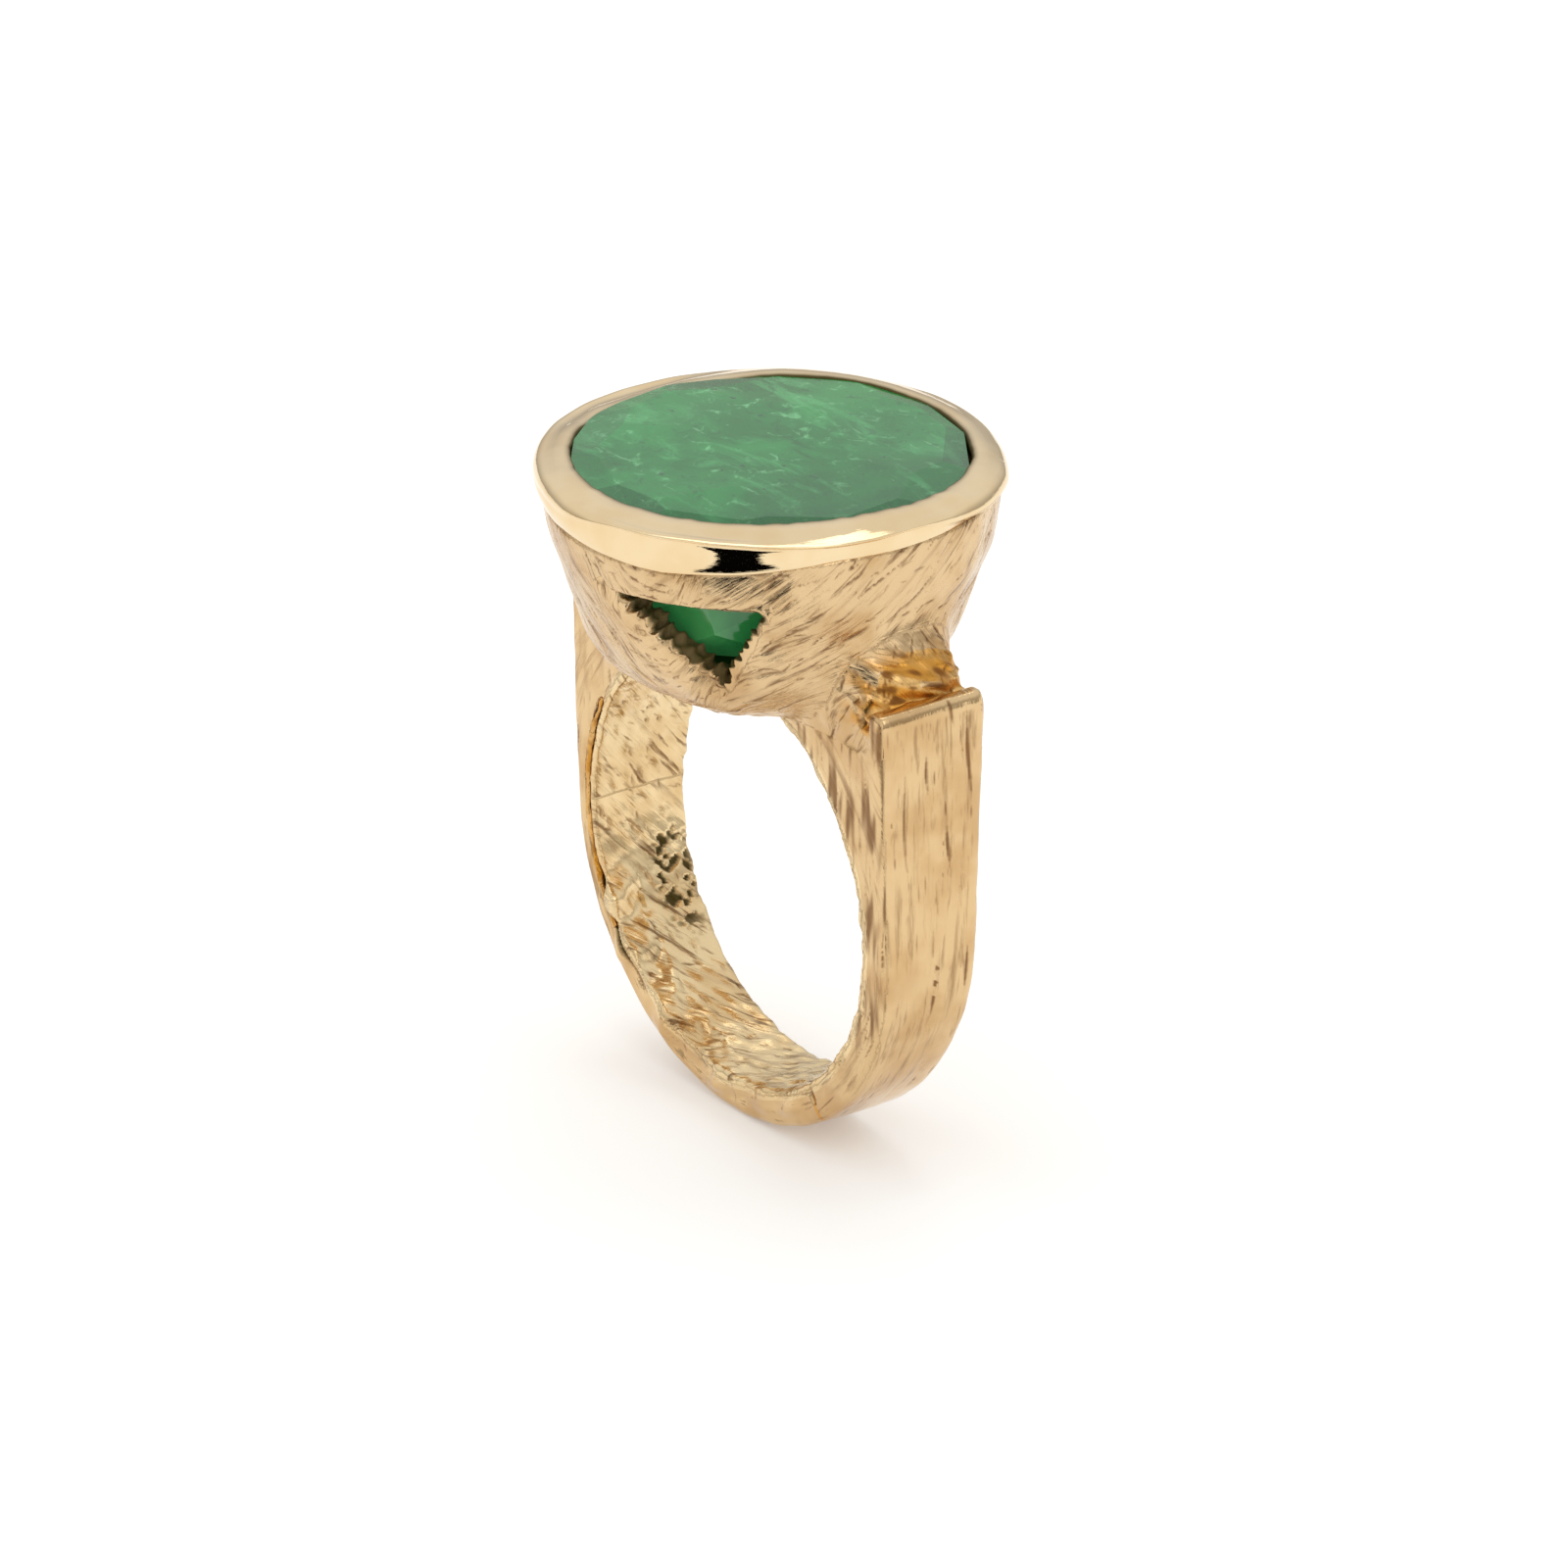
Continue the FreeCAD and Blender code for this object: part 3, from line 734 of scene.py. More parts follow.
def shape_body(body, sizes):
    """The hand work: uneven faces, window bites, the seam beside the liner, the crack and the nick, and
    painted shade in the cup's hidden walls, the seam, the crack, the pits and the windows.
    """
    mesh = body.data
    points, normals, depth, marks = survey(body, sizes)
    x, y, z = points.T
    ring = np.hypot(x, z)
    hole = np.degrees(np.arctan2(z, x)) % 360
    uneven = wander(points, 4.5, 3) * 0.05 + wander(points, 1.7, 4) * 0.02
    bumpy = wander(points, 0.9, 5) * 0.035 * (marks["on_liner"] + marks["on_neck"])
    lift = uneven * np.maximum(marks["on_cup"], 0.6) * (marks["inside"] < 0.5) + bumpy
    patina = 0.12 * np.clip(wander(points, 2.5, 6), 0, 1)
    fire = np.zeros(len(x))
    # painted shade on the cup's walls inside, under the stone
    soot = marks["inside"] * 0.9
    # seam where liner and strap part, along the front left edge, with painted shade in part of its gap
    run = smoothstep(148, 156, hole) * smoothstep(236, 228, hole) * (y < -1.2)
    slit = smoothstep(0.14, 0.03, abs(ring - liner_radius + 0.05 * wander(points, 1.1, 7))) * run
    lift -= 0.1 * slit
    patina = np.maximum(patina, slit * 0.9)
    soot = np.maximum(soot, slit * smoothstep(196, 204, hole) * smoothstep(226, 218, hole))
    # crack beside the right neck's front corner, painted with shade
    edge = band_offset + (neck_x + pocket_x) / 2 - 0.25 + 0.06 * wander(points, 0.8, 8)
    crack = smoothstep(0.09, 0.03, abs(x - edge)) * (y < -1.9)
    crack = crack * smoothstep(9.0, 9.3, z) * smoothstep(10.9, 10.6, z)
    lift -= 0.12 * crack
    soot = np.maximum(soot, crack)
    # nick at the sizing seam's inner front edge
    spot = sizes.seam_turn
    out = x * cos(spot) + z * sin(spot)
    off = z * cos(spot) - x * sin(spot)
    nick = smoothstep(1.0, 0.1, np.hypot(off / 0.22, (out - liner_radius - 0.1) / 0.5))
    nick = nick * (y < -1.5) * (out > 0)
    lift -= 0.28 * nick
    patina = np.maximum(patina, nick)
    # buffed: the shoulder rims, the strap's long edges and the bottom
    corner_gap = np.hypot(np.clip(side_x - 0.28 - abs(x - band_offset), 0, 9),
                          np.clip(abs(strap_half(z)) - 0.28 - abs(y), 0, 9))
    shine = marks["on_face"] * smoothstep(0.3, 0.05, corner_gap) * 0.9
    rim = smoothstep(shoulder_z - 0.75, shoulder_z - 0.35, z) * (1 - marks["on_neck"])
    rim = rim * (abs(x - band_offset) > pocket_x - 0.02) * (z < shoulder_z + 0.3)
    shine = np.maximum(shine, rim)
    lift += 0.07 * rim * smoothstep(shoulder_z - 0.3, shoulder_z - 0.05, z)
    patina = patina * (1 - 0.8 * rim)
    # brown grain streaks down the straps' front side faces, laid on thick enough to paint those faces' shade
    # as well; lighter on the left strap
    streaky = points * np.array([1.0, 1.0, 0.22])
    flank = marks["on_flank"] * (1 - marks["on_liner"]) * smoothstep(-7, -3, z) * (z < shoulder_z)
    grain_and_shade_streaks = np.clip(0.28 + 0.5 * wander(streaky, 0.5, 54), 0, 0.85)
    patina = np.maximum(patina, flank * grain_and_shade_streaks * np.where(x > 0, 1, 0.45))
    low_edge = smoothstep(-5.5, -7.5, z) * smoothstep(liner_radius - 0.1, liner_radius + 0.1, ring)
    shine = np.maximum(shine, low_edge * 0.8)
    # beaten flats along the bottom's front edge
    beaten = smoothstep(196, 208, hole) * smoothstep(306, 292, hole) * (y < -0.6)
    beaten *= smoothstep(liner_radius + 0.75, liner_radius + 0.3, ring)
    lift += beaten * (0.12 * wander(points, 1.9, 51) + 0.03 * wander(points, 0.8, 52))
    # a smooth buffed lobe between the cup and the left strap
    lobe = np.hypot((x + 6.5 - 0.25 * (z - 8.4)) / 1.25, (z - 8.5) / 2.7)
    lobe = smoothstep(1.0, 0.35, lobe) * (y < -1.6) * (depth < 0.15) * (ring > bore_radius + 0.1)
    lift += 0.42 * lobe
    shine = np.maximum(shine, smoothstep(0.1, 0.4, lobe))
    patina = patina * (1 - lobe)
    # pits inside the liner, on the left, painted with shade
    pit = smoothstep(1.7, 0.9, np.hypot((y - 1.1) / 0.75, (z + 3.7) / 1.5)) * (x < 0) * marks["on_liner"]
    pit *= smoothstep(0.25, 0.6, wander(points, 0.55, 53))
    lift -= 0.12 * pit
    soot = np.maximum(soot, pit)
    # torch colour and rough solder behind the shoulder rims
    across = abs(x - band_offset)
    corner = smoothstep(neck_x - 1.8, neck_x + 0.2, across)
    corner = corner * smoothstep(pocket_x + 0.1, pocket_x - 0.05, across)
    corner *= smoothstep(8.9, 9.2, z) * smoothstep(12.3, 11.2, z)
    drawn = points * np.array([1.0, 0.28, 1.0]) + np.array([0.0, 0.0, 0.35]) * points[:, 1:2]
    fire = np.maximum(fire, corner * np.clip(0.55 + 0.55 * wander(drawn, 0.8, 12), 0, 1))
    lift += corner * (0.06 * wander(drawn, 0.55, 9) - 0.03)
    patina = np.maximum(patina, corner * np.clip(0.9 * wander(drawn, 0.42, 10) - 0.1, 0, 1))
    points = points + normals * lift[:, None]
    facing = np.degrees(np.arctan2(y, x))
    points[:, 2] += climb(facing) * smoothstep(13.4, 15.1, z)
    swell = smoothstep(10.5, 12.5, z) * smoothstep(15.9, 14.5, z) * marks["on_cup"]
    swell *= np.interp(facing, [-10, 30, 75, 120], [0, 1, 1, 0])
    points[:, :2] *= 1 + 0.022 * swell[:, None]
    # the necks flare as they come down to the shoulders
    way = np.sign(x)
    flare = smoothstep(shoulder_z - 0.2, shoulder_z + 0.7, z) * smoothstep(12.8, 10.2, z)
    flare *= smoothstep(4.0, 7.0, abs(x)) * smoothstep(-2.6, 0.5, y * way) * (marks["inside"] < 0.5)
    points[:, 0] += 0.5 * way * flare
    for number, turn in enumerate((sizes.window_turn, sizes.window_turn + pi)):
        points, opening = saw_window(points, depth, turn, sizes, 21 + number)
        # painted shade on each window's walls, darker further in
        soot = np.maximum(soot, opening * smoothstep(0.08, 0.3, depth) * 0.8 * (1 - marks["outer_skin"]))
    write(mesh, "co", points)
    for name, values in (("patina", patina), ("soot", soot), ("fire", fire), ("shine", shine)):
        write(mesh, name, np.clip(values, 0, 1))


def box_solid(name, low, high):
    """A box between two corners."""
    solid = bmesh.new()
    bmesh.ops.create_cube(solid, size=1)
    for vertex in solid.verts:
        vertex.co = [low[i] if vertex.co[i] < 0 else high[i] for i in range(3)]
    return new_object(name, as_mesh(solid, name))


def ring_solid(name, loops):
    """A closed solid from stacked loops of points, with a cap on each end."""
    solid = bmesh.new()
    rows = [[solid.verts.new(point) for point in loop] for loop in loops]
    count = len(rows[0])
    for low, high in zip(rows, rows[1:]):
        for i in range(count):
            solid.faces.new((low[i], low[(i + 1) % count], high[(i + 1) % count], high[i]))
    solid.faces.new(rows[0][::-1])
    solid.faces.new(rows[-1])
    bmesh.ops.recalc_face_normals(solid, faces=solid.faces)
    return new_object(name, as_mesh(solid, name))


def liner_region():
    """The space of the liner: a short drum, as wide as the band at each height and a little more."""
    loops = []
    for sign in (-1, 1):
        loop = []
        for step in range(256):
            turn = step * tau / 256
            height = liner_radius * sin(turn)
            loop.append((liner_radius * cos(turn), sign * (strap_half(height) + 0.15), height))
        loops.append(loop)
    return ring_solid("liner_region", loops)


def bowl_region(margin):
    """The space of the cup: its outer curve with a margin, from below its foot to over its rim."""
    heights = np.linspace(cup_low[2] - 0.6, cup_rim_z + 1.4, 40)
    loops = [[(*to_oval(bowl_radius(z) + margin, step * tau / 160), z) for step in range(160)]
             for z in heights]
    return ring_solid("bowl_region", loops)


def part(body, region, operation):
    """What of the body lies in a region, or outside it."""
    piece = new_object("part", body.data.copy())
    cut = piece.modifiers.new("cut", "BOOLEAN")
    cut.object = region
    cut.operation = operation
    cut.solver = "MANIFOLD"
    return bake(piece)


def split(body, region):
    """The parts of the body inside and outside a region; the body and the region go."""
    inside, outside = part(body, region, "INTERSECT"), part(body, region, "DIFFERENCE")
    bpy.data.objects.remove(body)
    bpy.data.objects.remove(region)
    return inside, outside


def islands(piece):
    """Gives every point the label of its separate solid."""
    mesh = piece.data
    label = np.arange(len(mesh.vertices))
    pairs = read_pairs(mesh)
    while True:
        low = np.minimum(label[pairs[:, 0]], label[pairs[:, 1]])
        new = label.copy()
        np.minimum.at(new, pairs[:, 0], low)
        np.minimum.at(new, pairs[:, 1], low)
        new = new[new]
        if (new == label).all():
            return label
        label = new


def keep_solids(piece, name, wanted=None):
    """Keeps the solids that the test wants, or the largest one, and mends the attributes on cut edges."""
    label = islands(piece)
    points = read(piece.data, "co")
    names, counts = np.unique(label, return_counts=True)
    if wanted is None:
        chosen = {names[counts.argmax()]}
    else:
        chosen = {n for n, c in zip(names, counts) if c > 60 and wanted(points[label == n].mean(0))}
    solid = bmesh.new()
    solid.from_mesh(piece.data)
    solid.verts.ensure_lookup_table()
    bmesh.ops.delete(solid, geom=[v for v in solid.verts if label[v.index] not in chosen], context="VERTS")
    mesh = as_mesh(solid, name)
    heal(mesh)
    return new_object(name, mesh)


def thin(piece, most=190000):
    """Merges the smallest triangles of a piece that has more than it needs."""
    count = sum(len(face.vertices) - 2 for face in piece.data.polygons)
    if count > most:
        fewer = piece.modifiers.new("fewer_triangles", "DECIMATE")
        fewer.ratio = most / count
        bake(piece)
    return piece


def heal(mesh):
    """Points made by a cut take their attributes from their neighbours."""
    known = read(mesh, "known", 1)
    pairs = read_pairs(mesh)
    here, there = np.r_[pairs[:, 0], pairs[:, 1]], np.r_[pairs[:, 1], pairs[:, 0]]
    lost = known < 0.5
    for _ in range(3):
        good = (~lost)[there]
        count = np.bincount(here[good], minlength=len(known))
        mend = lost & (count > 0)
        for name, width in (("patina", 1), ("soot", 1), ("fire", 1), ("shine", 1), ("flow", 3)):
            values = read(mesh, name, width).reshape(len(known), -1)
            for column in range(width):
                total = np.bincount(here[good], values[there[good], column], len(known))
                values[mend, column] = total[mend] / count[mend]
            write(mesh, name, values if width > 1 else values[:, 0])
        lost &= ~mend


def gold_body(sizes):
    """Carves the whole body and parts it into the pieces that it was soldered from."""
    materials = golds()
    body = cast_body(sizes.skin_grain)
    soften(body, sizes)
    shape_body(body, sizes)
    strokes = stroke_tree()
    # where, per mm2, length, width, depth, spread, bow, stain
    work = [("on_cup", 0.25, 2.0, 0.14, 0.055, 0.30, 0.5, 0.8),
            ("on_cup", 2.2, 1.0, 0.085, 0.028, 0.5, 0.4, 0.85),
            ("on_neck", 1.6, 1.3, 0.13, 0.055, 0.45, 0.4, 0.9),
            ("on_face", 0.16, 4.0, 0.17, 0.035, 0.09, 0.15, 1.0),
            ("on_face", 0.8, 1.4, 0.09, 0.02, 0.2, 0.2, 0.8),
            ("on_flank", 1.6, 1.8, 0.085, 0.02, 0.12, 0.2, 0.8),
            ("on_liner", 2.6, 0.8, 0.12, 0.05, 0.6, 0.4, 0.75)]
    for number, (where, density, length, width, depth, spread, bow, stain) in enumerate(work):
        use_tree(body, strokes, where=where, density=density, length=length, width=width, depth=depth,
                 spread=spread, bow=bow, stain=stain, seed=40 + number, material=materials["carved"])
    liner, body = split(body, liner_region())
    cup, body = split(body, bowl_region(margin=0.3))
    reach = 40  # further than any part of the ring
    blocks, straps = split(body, box_solid("neck_region", (band_offset - pocket_x, -reach, pocket_z),
                                           (band_offset + pocket_x, reach, reach)))
    solders = []
    for side in (-1, 1):
        ends = sorted((band_offset + side * neck_x, band_offset + side * reach))
        corner = box_solid("solder_region", (ends[0], -reach, solder_z), (ends[1], reach, reach))
        found, blocks = split(blocks, corner)
        solders.append(found)
    slab = box_solid("seam_region", (0, -reach, -sizes.seam_thickness / 2),
                     (reach, reach, sizes.seam_thickness / 2))
    slab.data.transform(Matrix.Rotation(-sizes.seam_turn, 4, "Y"))
    seam, straps = split(straps, slab)
    finish_piece(keep_solids(liner, "carved_liner"), materials["worn"], "carved_gold", "inner_band")
    finish_piece(thin(keep_solids(cup, "carved_cup")), materials["carved"], "carved_gold", "setting_cup")
    for side, word, solder in ((-1, "left", solders[0]), (1, "right", solders[1])):
        finish_piece(keep_solids(solder, f"shoulder_fillet_{word}"), materials["solder"], "solder_gold",
                     f"shoulder_solder_{word}")
        finish_piece(keep_solids(blocks, f"carved_neck_{word}", lambda middle: middle[0] * side > 0),
                     materials["carved"], "carved_gold", f"neck_{word}")
        finish_piece(keep_solids(straps, f"filed_strap_{word}", lambda middle: side * (middle[0] - 3.5) > 0),
                     materials["satin"], "satin_gold", f"strap_{word}")
    finish_piece(keep_solids(seam, "soldered_seam"), materials["solder"], "solder_gold", "sizing_seam")
    for used in (liner, cup, blocks, straps, seam, *solders):
        bpy.data.objects.remove(used)


# ---------------------------------------------------------------- collar

def rounded(loops, rounds):
    """Cuts the corners of closed loops again and again until they are smooth curves."""
    for _ in range(rounds):
        following = np.roll(loops, -1, axis=1)
        near, far = 0.75 * loops + 0.25 * following, 0.25 * loops + 0.75 * following
        loops = np.stack([near, far], 2).reshape(len(loops), -1, 2)
    return loops


def loop_noise(angles, swells, seed):
    """Smooth noise between about -1 and 1 that closes on itself round the ring."""
    draw = np.random.default_rng(seed)
    wave = sum(np.sin(angles * n + draw.uniform(0, tau)) * draw.uniform(0.4, 1)
               for n in range(max(1, swells // 2), swells + 1))
    return wave / (0.5 * swells) ** 0.5


def collar(sizes):
    """The bezel's profile swept round the oval: rolled top, filed front strip, ragged inner lip."""
    count = 540  # profiles round the oval
    angles = np.arange(count) * tau / count
    plan = np.array([to_oval(1, angle) for angle in angles])
    facing = np.degrees(np.arctan2(plan[:, 1], plan[:, 0]))
    front = smoothstep(0, 1, np.interp(facing, [-98, -72, -5, 25], [0, 1, 1, 0]))
    left = np.interp(facing, [-180, -150, -110], [1, 1, 0]) + np.interp(facing, [120, 170, 180], [0, 1, 1])
    lip = stone_radius - sizes.lip_cover
    outer = np.full(count, collar_radius_outside)
    base, top = collar_low[2], collar_high[2] - sizes.collar_drop
    lip += (0.2 * np.cos(2 * angles - 0.2) + 0.12 * np.cos(angles - 1.26)
            + 0.06 * np.cos(4 * angles + 1.4) - 0.12)
    lip += 0.03 * loop_noise(angles, 24, 2) + 0.012 * loop_noise(angles, 70, 3)
    near_side = np.interp(facing, [-120, -60, 0, 50], [0, 1, 1, 0])
    foot = base + climb(facing)
    rag = 0.03 * loop_noise(angles, 40, 4) + 0.02 * loop_noise(angles, 90, 5)
    torn = np.interp(facing, [-75, -30, 25, 50], [0, 1, 1, 0]) + np.interp(facing, [150, 165, 180], [0, 1, 1])
    rag = rag * (1 + 2.2 * torn)
    lip += 0.035 * torn * loop_noise(angles, 60, 14)
    wave = 0.04 * loop_noise(angles, 7, 6)
    rise = 0.05 * loop_noise(angles, 5, 7) + 0.04 + 0.06 * near_side - 0.18 * left
    right = np.interp(facing, [15, 45, 75], [0, 1, 0])
    fat = 0.12 + 0.16 * left + 0.14 * right - 0.08 * front + 0.03 * loop_noise(angles, 6, 8)
    crease = top - 0.36 + 0.24 * front + 0.05 * loop_noise(angles, 6, 9)
    inner = np.full(count, stone_radius + 0.1)
    one = np.ones(count)
    points = [
        (inner, base + 0.02 * one), (inner, base + 0.9 * one), (inner - 0.02, base + 1.25 * one),
        (lip + 0.02, top - 0.28 + rag), (lip, top - 0.12 + rag), (lip + 0.02, top - 0.02 + 0.4 * rag + rise),
        (lip + 0.09, top + 0.05 + rise),
        (lip + 0.42 * (outer - lip), top + 0.03 + rise),
        (lip + 0.72 * (outer - lip) + 0.02 * front, top - 0.1 + rise),
        (outer - 0.16 + fat - 0.03 * front, crease + 0.16 * (1 - front) + 0.10 * front),
        (outer + 0.03 + fat - 0.01 * front, crease + 0.02 * front - 0.15 * (1 - front)),
        (outer - 0.02 + fat + wave - 0.10 * front, crease - 0.10 - 0.25 * (1 - front)),
        (outer + 0.02 + fat + wave - 0.13 * front, 0.5 * (foot + crease)),
        (outer - 0.05 + 0.7 * fat + wave - 0.05 * front, foot + 0.25 * one),
        (outer - 0.22 + 0.3 * fat + 0.06 * front, foot - 0.08 * one), (outer - 0.45, foot - 0.06 * one),
        (inner + 0.35, base * one)]
    loops = rounded(np.stack([np.stack(point, 1) for point in points], 1), 3)
    size = loops.shape[1]
    verts = np.stack([loops[:, :, 0] * plan[:, :1], loops[:, :, 0] * plan[:, 1:], loops[:, :, 1]], 2)
    verts = verts.reshape(-1, 3)
    faces = [(a * size + i, a * size + (i + 1) % size, (a + 1) % count * size + (i + 1) % size,
              (a + 1) % count * size + i) for a in range(count) for i in range(size)]
    mesh = bpy.data.meshes.new("rolled_collar")
    mesh.from_pydata(verts.tolist(), [], faces)
    points = read(mesh, "co")
    write(mesh, "co", points + 0.012 * np.stack([wander(points, 2.6, 31 + i) for i in range(3)], 1))
    share = np.arange(size) / size
    # painted shade: the collar's inner face, in the gap beside the stone, is painted dark
    dark = smoothstep(0.36, 0.30, share)[None, :] * one[:, None]
    write(mesh, "soot", np.clip(dark, 0, 1).ravel())
    for name, value in (("patina", 0), ("fire", 0), ("shine", 1)):
        write(mesh, name, np.full(len(verts), float(value)))
    ring_run = (angles * collar_radius_outside)[:, None] + 0 * share[None, :]
    write(mesh, "flow", np.stack([ring_run.ravel(), (0 * ring_run + share * 6).ravel(), 0 * verts[:, 0]], 1))
    face_outwards(mesh)
    finish_piece(new_object("rolled_collar", mesh), golds()["polished"], "polished_gold", "bezel_collar")


# ---------------------------------------------------------------- emerald

def halve(solid, point, normal):
    """Grinds one flat on the stone: everything beyond the plane goes, and the cut is closed."""
    geometry = solid.verts[:] + solid.edges[:] + solid.faces[:]
    made = bmesh.ops.bisect_plane(solid, geom=geometry, plane_co=point, plane_no=normal, clear_outer=True)
    edges = [item for item in made["geom_cut"] if isinstance(item, bmesh.types.BMEdge)]
    if edges:
        bmesh.ops.edgenet_fill(solid, edges=edges)


def emerald(sizes):
    """A block ground flat by flat: domed table, crown, girdle and three uneven tiers of pavilion."""
    draw = np.random.default_rng(5)
    radius, top, bottom = stone_radius, stone_high[2] + sizes.stone_rise, stone_low[2]
    girdle = stone_high[2] - 0.16
    solid = bmesh.new()
    bmesh.ops.create_cone(solid, segments=72, radius1=radius, radius2=radius, depth=top - bottom,
                          cap_ends=True, matrix=Matrix.Translation((0, 0, (top + bottom) / 2)))

    def flat(turn, at_radius, at_height, tilt):
        out = Vector((cos(turn), sin(turn), 0))
        halve(solid, out * at_radius + UP * at_height, out * cos(tilt) + UP * sin(tilt))

    # table: one main flat and a few that fall away by a degree or two
    for turn, away, tilt in ((200, 3.0, 87.6), (300, 3.6, 87.2), (20, 3.2, 87.0), (80, 4.2, 85.0),
                             (140, 4.0, 87.5), (250, 4.6, 86.2)):
        flat(radians(turn), away, top - 0.01, radians(tilt))
    for step in range(13):
        turn = step * tau / 13 + draw.uniform(-0.12, 0.12)
        flat(turn, radius - 0.1, girdle - 0.1, radians(draw.uniform(75.5, 80)))
    # pavilion: flats in a tier, radius and height that they pass through, tilt
    for number, at_radius, height, tilt in ((14, 7.45, cup_rim_z, -12), (12, 7.05, cup_rim_z - 1.9, -20),
                                            (10, 6.55, cup_rim_z - 3.5, -44), (8, 5.2, cup_rim_z - 4.6, -66)):
        for step in range(number):
            turn = step * tau / number + draw.uniform(-0.16, 0.16) + tilt
            flat(turn, at_radius, height, radians(tilt + draw.uniform(-3, 3)))
    for vertex in solid.verts:
        place = to_oval(hypot(vertex.co.x, vertex.co.y), atan2(vertex.co.y, vertex.co.x))
        vertex.co.x, vertex.co.y = place
    bmesh.ops.remove_doubles(solid, verts=solid.verts, dist=0.02)
    bmesh.ops.recalc_face_normals(solid, faces=solid.faces)
    # each flat returns the light a little differently
    tone = solid.faces.layers.float.new("facet")
    for face in solid.faces:
        level = face.normal.z
        darkest = 0.16 if level > 0.995 else 0.5 if level > 0.8 else 0.6
        face[tone] = draw.uniform(0.0, darkest)
    stone = new_object("emerald_stone", as_mesh(solid, "emerald_stone"))
    edge = stone.modifiers.new("worn_edges", "BEVEL")
    edge.width = 0.06
    edge.segments = 2
    edge.limit_method = "ANGLE"
    edge.angle_limit = radians(3)
    fine = stone.modifiers.new("triangles", "TRIANGULATE")
    fine.min_vertices = 5
    bake(stone)
    mesh = stone.data
    write(mesh, "depth", smoothstep(top - 0.6, top - 1.6, read(mesh, "co")[:, 2]))
    finish_piece(stone, emerald_material(), "stone", "emerald", crease=2)


# ---------------------------------------------------------------- seat and solder bead

def stone_seat():
    """The ledge under the stone keeps its CAD shape and gets an unpolished finish, painted dark as shade
    under the stone.
    """
    node = frame["nodes"]["stone_seat"]
    node.data.materials.clear()
    node.data.materials.append(golds()["dark"])


def bead_tree():
    """A bead of solder run along an arc in the plane of the band, thick and thin by turns."""
    tree, given = new_tree("solder_bead", [
        ("Radius", "NodeSocketFloat"), ("Start", "NodeSocketFloat"), ("Sweep", "NodeSocketFloat"),
        ("Thickness", "NodeSocketFloat"), ("Front", "NodeSocketFloat"), ("Taper", "NodeSocketFloat"),
        ("Material", "NodeSocketMaterial")])
    arc = add(tree, "GeometryNodeCurveArc", {"Resolution": 260, "Radius": given["Radius"],
                                             "Start Angle": given["Start"], "Sweep Angle": given["Sweep"]},
              mode="RADIUS").outputs[0]
    stand = add(tree, "GeometryNodeTransform", {"Geometry": arc, "Rotation": (radians(90), 0, 0)}).outputs[0]
    here = add(tree, "GeometryNodeInputPosition").outputs[0]
    height = add(tree, "ShaderNodeSeparateXYZ", {0: here}).outputs[2]
    slope = add(tree, "ShaderNodeMath", {0: height, 1: given["Taper"], 2: given["Front"]},
                operation="MULTIPLY_ADD")
    front = add(tree, "ShaderNodeCombineXYZ", {1: slope.outputs[0]}).outputs[0]
    shake = add(tree, "ShaderNodeTexNoise", {"Vector": here, "Scale": 1.6, "Detail": 3.0})
    shift = shake.outputs["Color"]
    for what, value in (("SUBTRACT", (0.5, 0.5, 0.5)), ("MULTIPLY", (0.22, 0.1, 0.22)), ("ADD", front)):
        shift = add(tree, "ShaderNodeVectorMath", {0: shift, 1: value}, operation=what).outputs[0]
    line = add(tree, "GeometryNodeSetPosition", {"Geometry": stand, "Offset": shift}).outputs[0]
    swell = add(tree, "ShaderNodeMapRange", {0: shake.outputs["Fac"], 1: 0.35, 2: 0.65, 3: 0.55, 4: 1.25})
    thick = add(tree, "ShaderNodeMath", {0: swell.outputs[0], 1: given["Thickness"]},
                operation="MULTIPLY").outputs[0]
    round_wire = add(tree, "GeometryNodeCurvePrimitiveCircle", {"Resolution": 12, "Radius": 1.0},
                     mode="RADIUS")
    tube = add(tree, "GeometryNodeCurveToMesh", {"Curve": line, "Profile Curve": round_wire.outputs[0],
                                                 "Scale": thick, "Fill Caps": True})
    return close_tree(tree, tube.outputs[0], given["Material"])


def liner_bead(sizes):
    """The bead follows the frame's own bead: its angles, and its slant along the liner's edge."""
    low, high = node_box("liner_solder")
    points = node_points("liner_solder")
    angles = np.degrees(np.arctan2(points[:, 2], points[:, 0])) % 360
    start, end = angles.min(), angles.max()
    upper = points[points[:, 2] > high[2] - 1]
    lower = points[points[:, 2] < low[2] + 1]
    slope = (upper[:, 1].min() - lower[:, 1].min()) / (high[2] - low[2])
    front = lower[:, 1].min() - slope * low[2] + sizes.bead_thickness * 0.7
    bead = new_object("liner_bead", bpy.data.meshes.new("liner_bead"))
    use_tree(bead, bead_tree(), radius=float(liner_radius), start=radians(start), sweep=radians(end - start),
             thickness=sizes.bead_thickness, front=float(front), taper=float(slope),
             material=golds()["solder"])
    mesh = bead.data
    points = read(mesh, "co")
    write(mesh, "fire", 0.5 + 0.5 * wander(points, 1.2, 41))
    write(mesh, "patina", np.clip(wander(points, 0.7, 42), 0, 1) * 0.5)
    for name in ("soot", "shine"):
        write(mesh, name, np.zeros(len(points)))
    write(mesh, "flow", points)
    face_outwards(mesh, merge=1e-4)
    finish_piece(bead, golds()["solder"], "solder_gold", "liner_solder")


# ---------------------------------------------------------------- studio

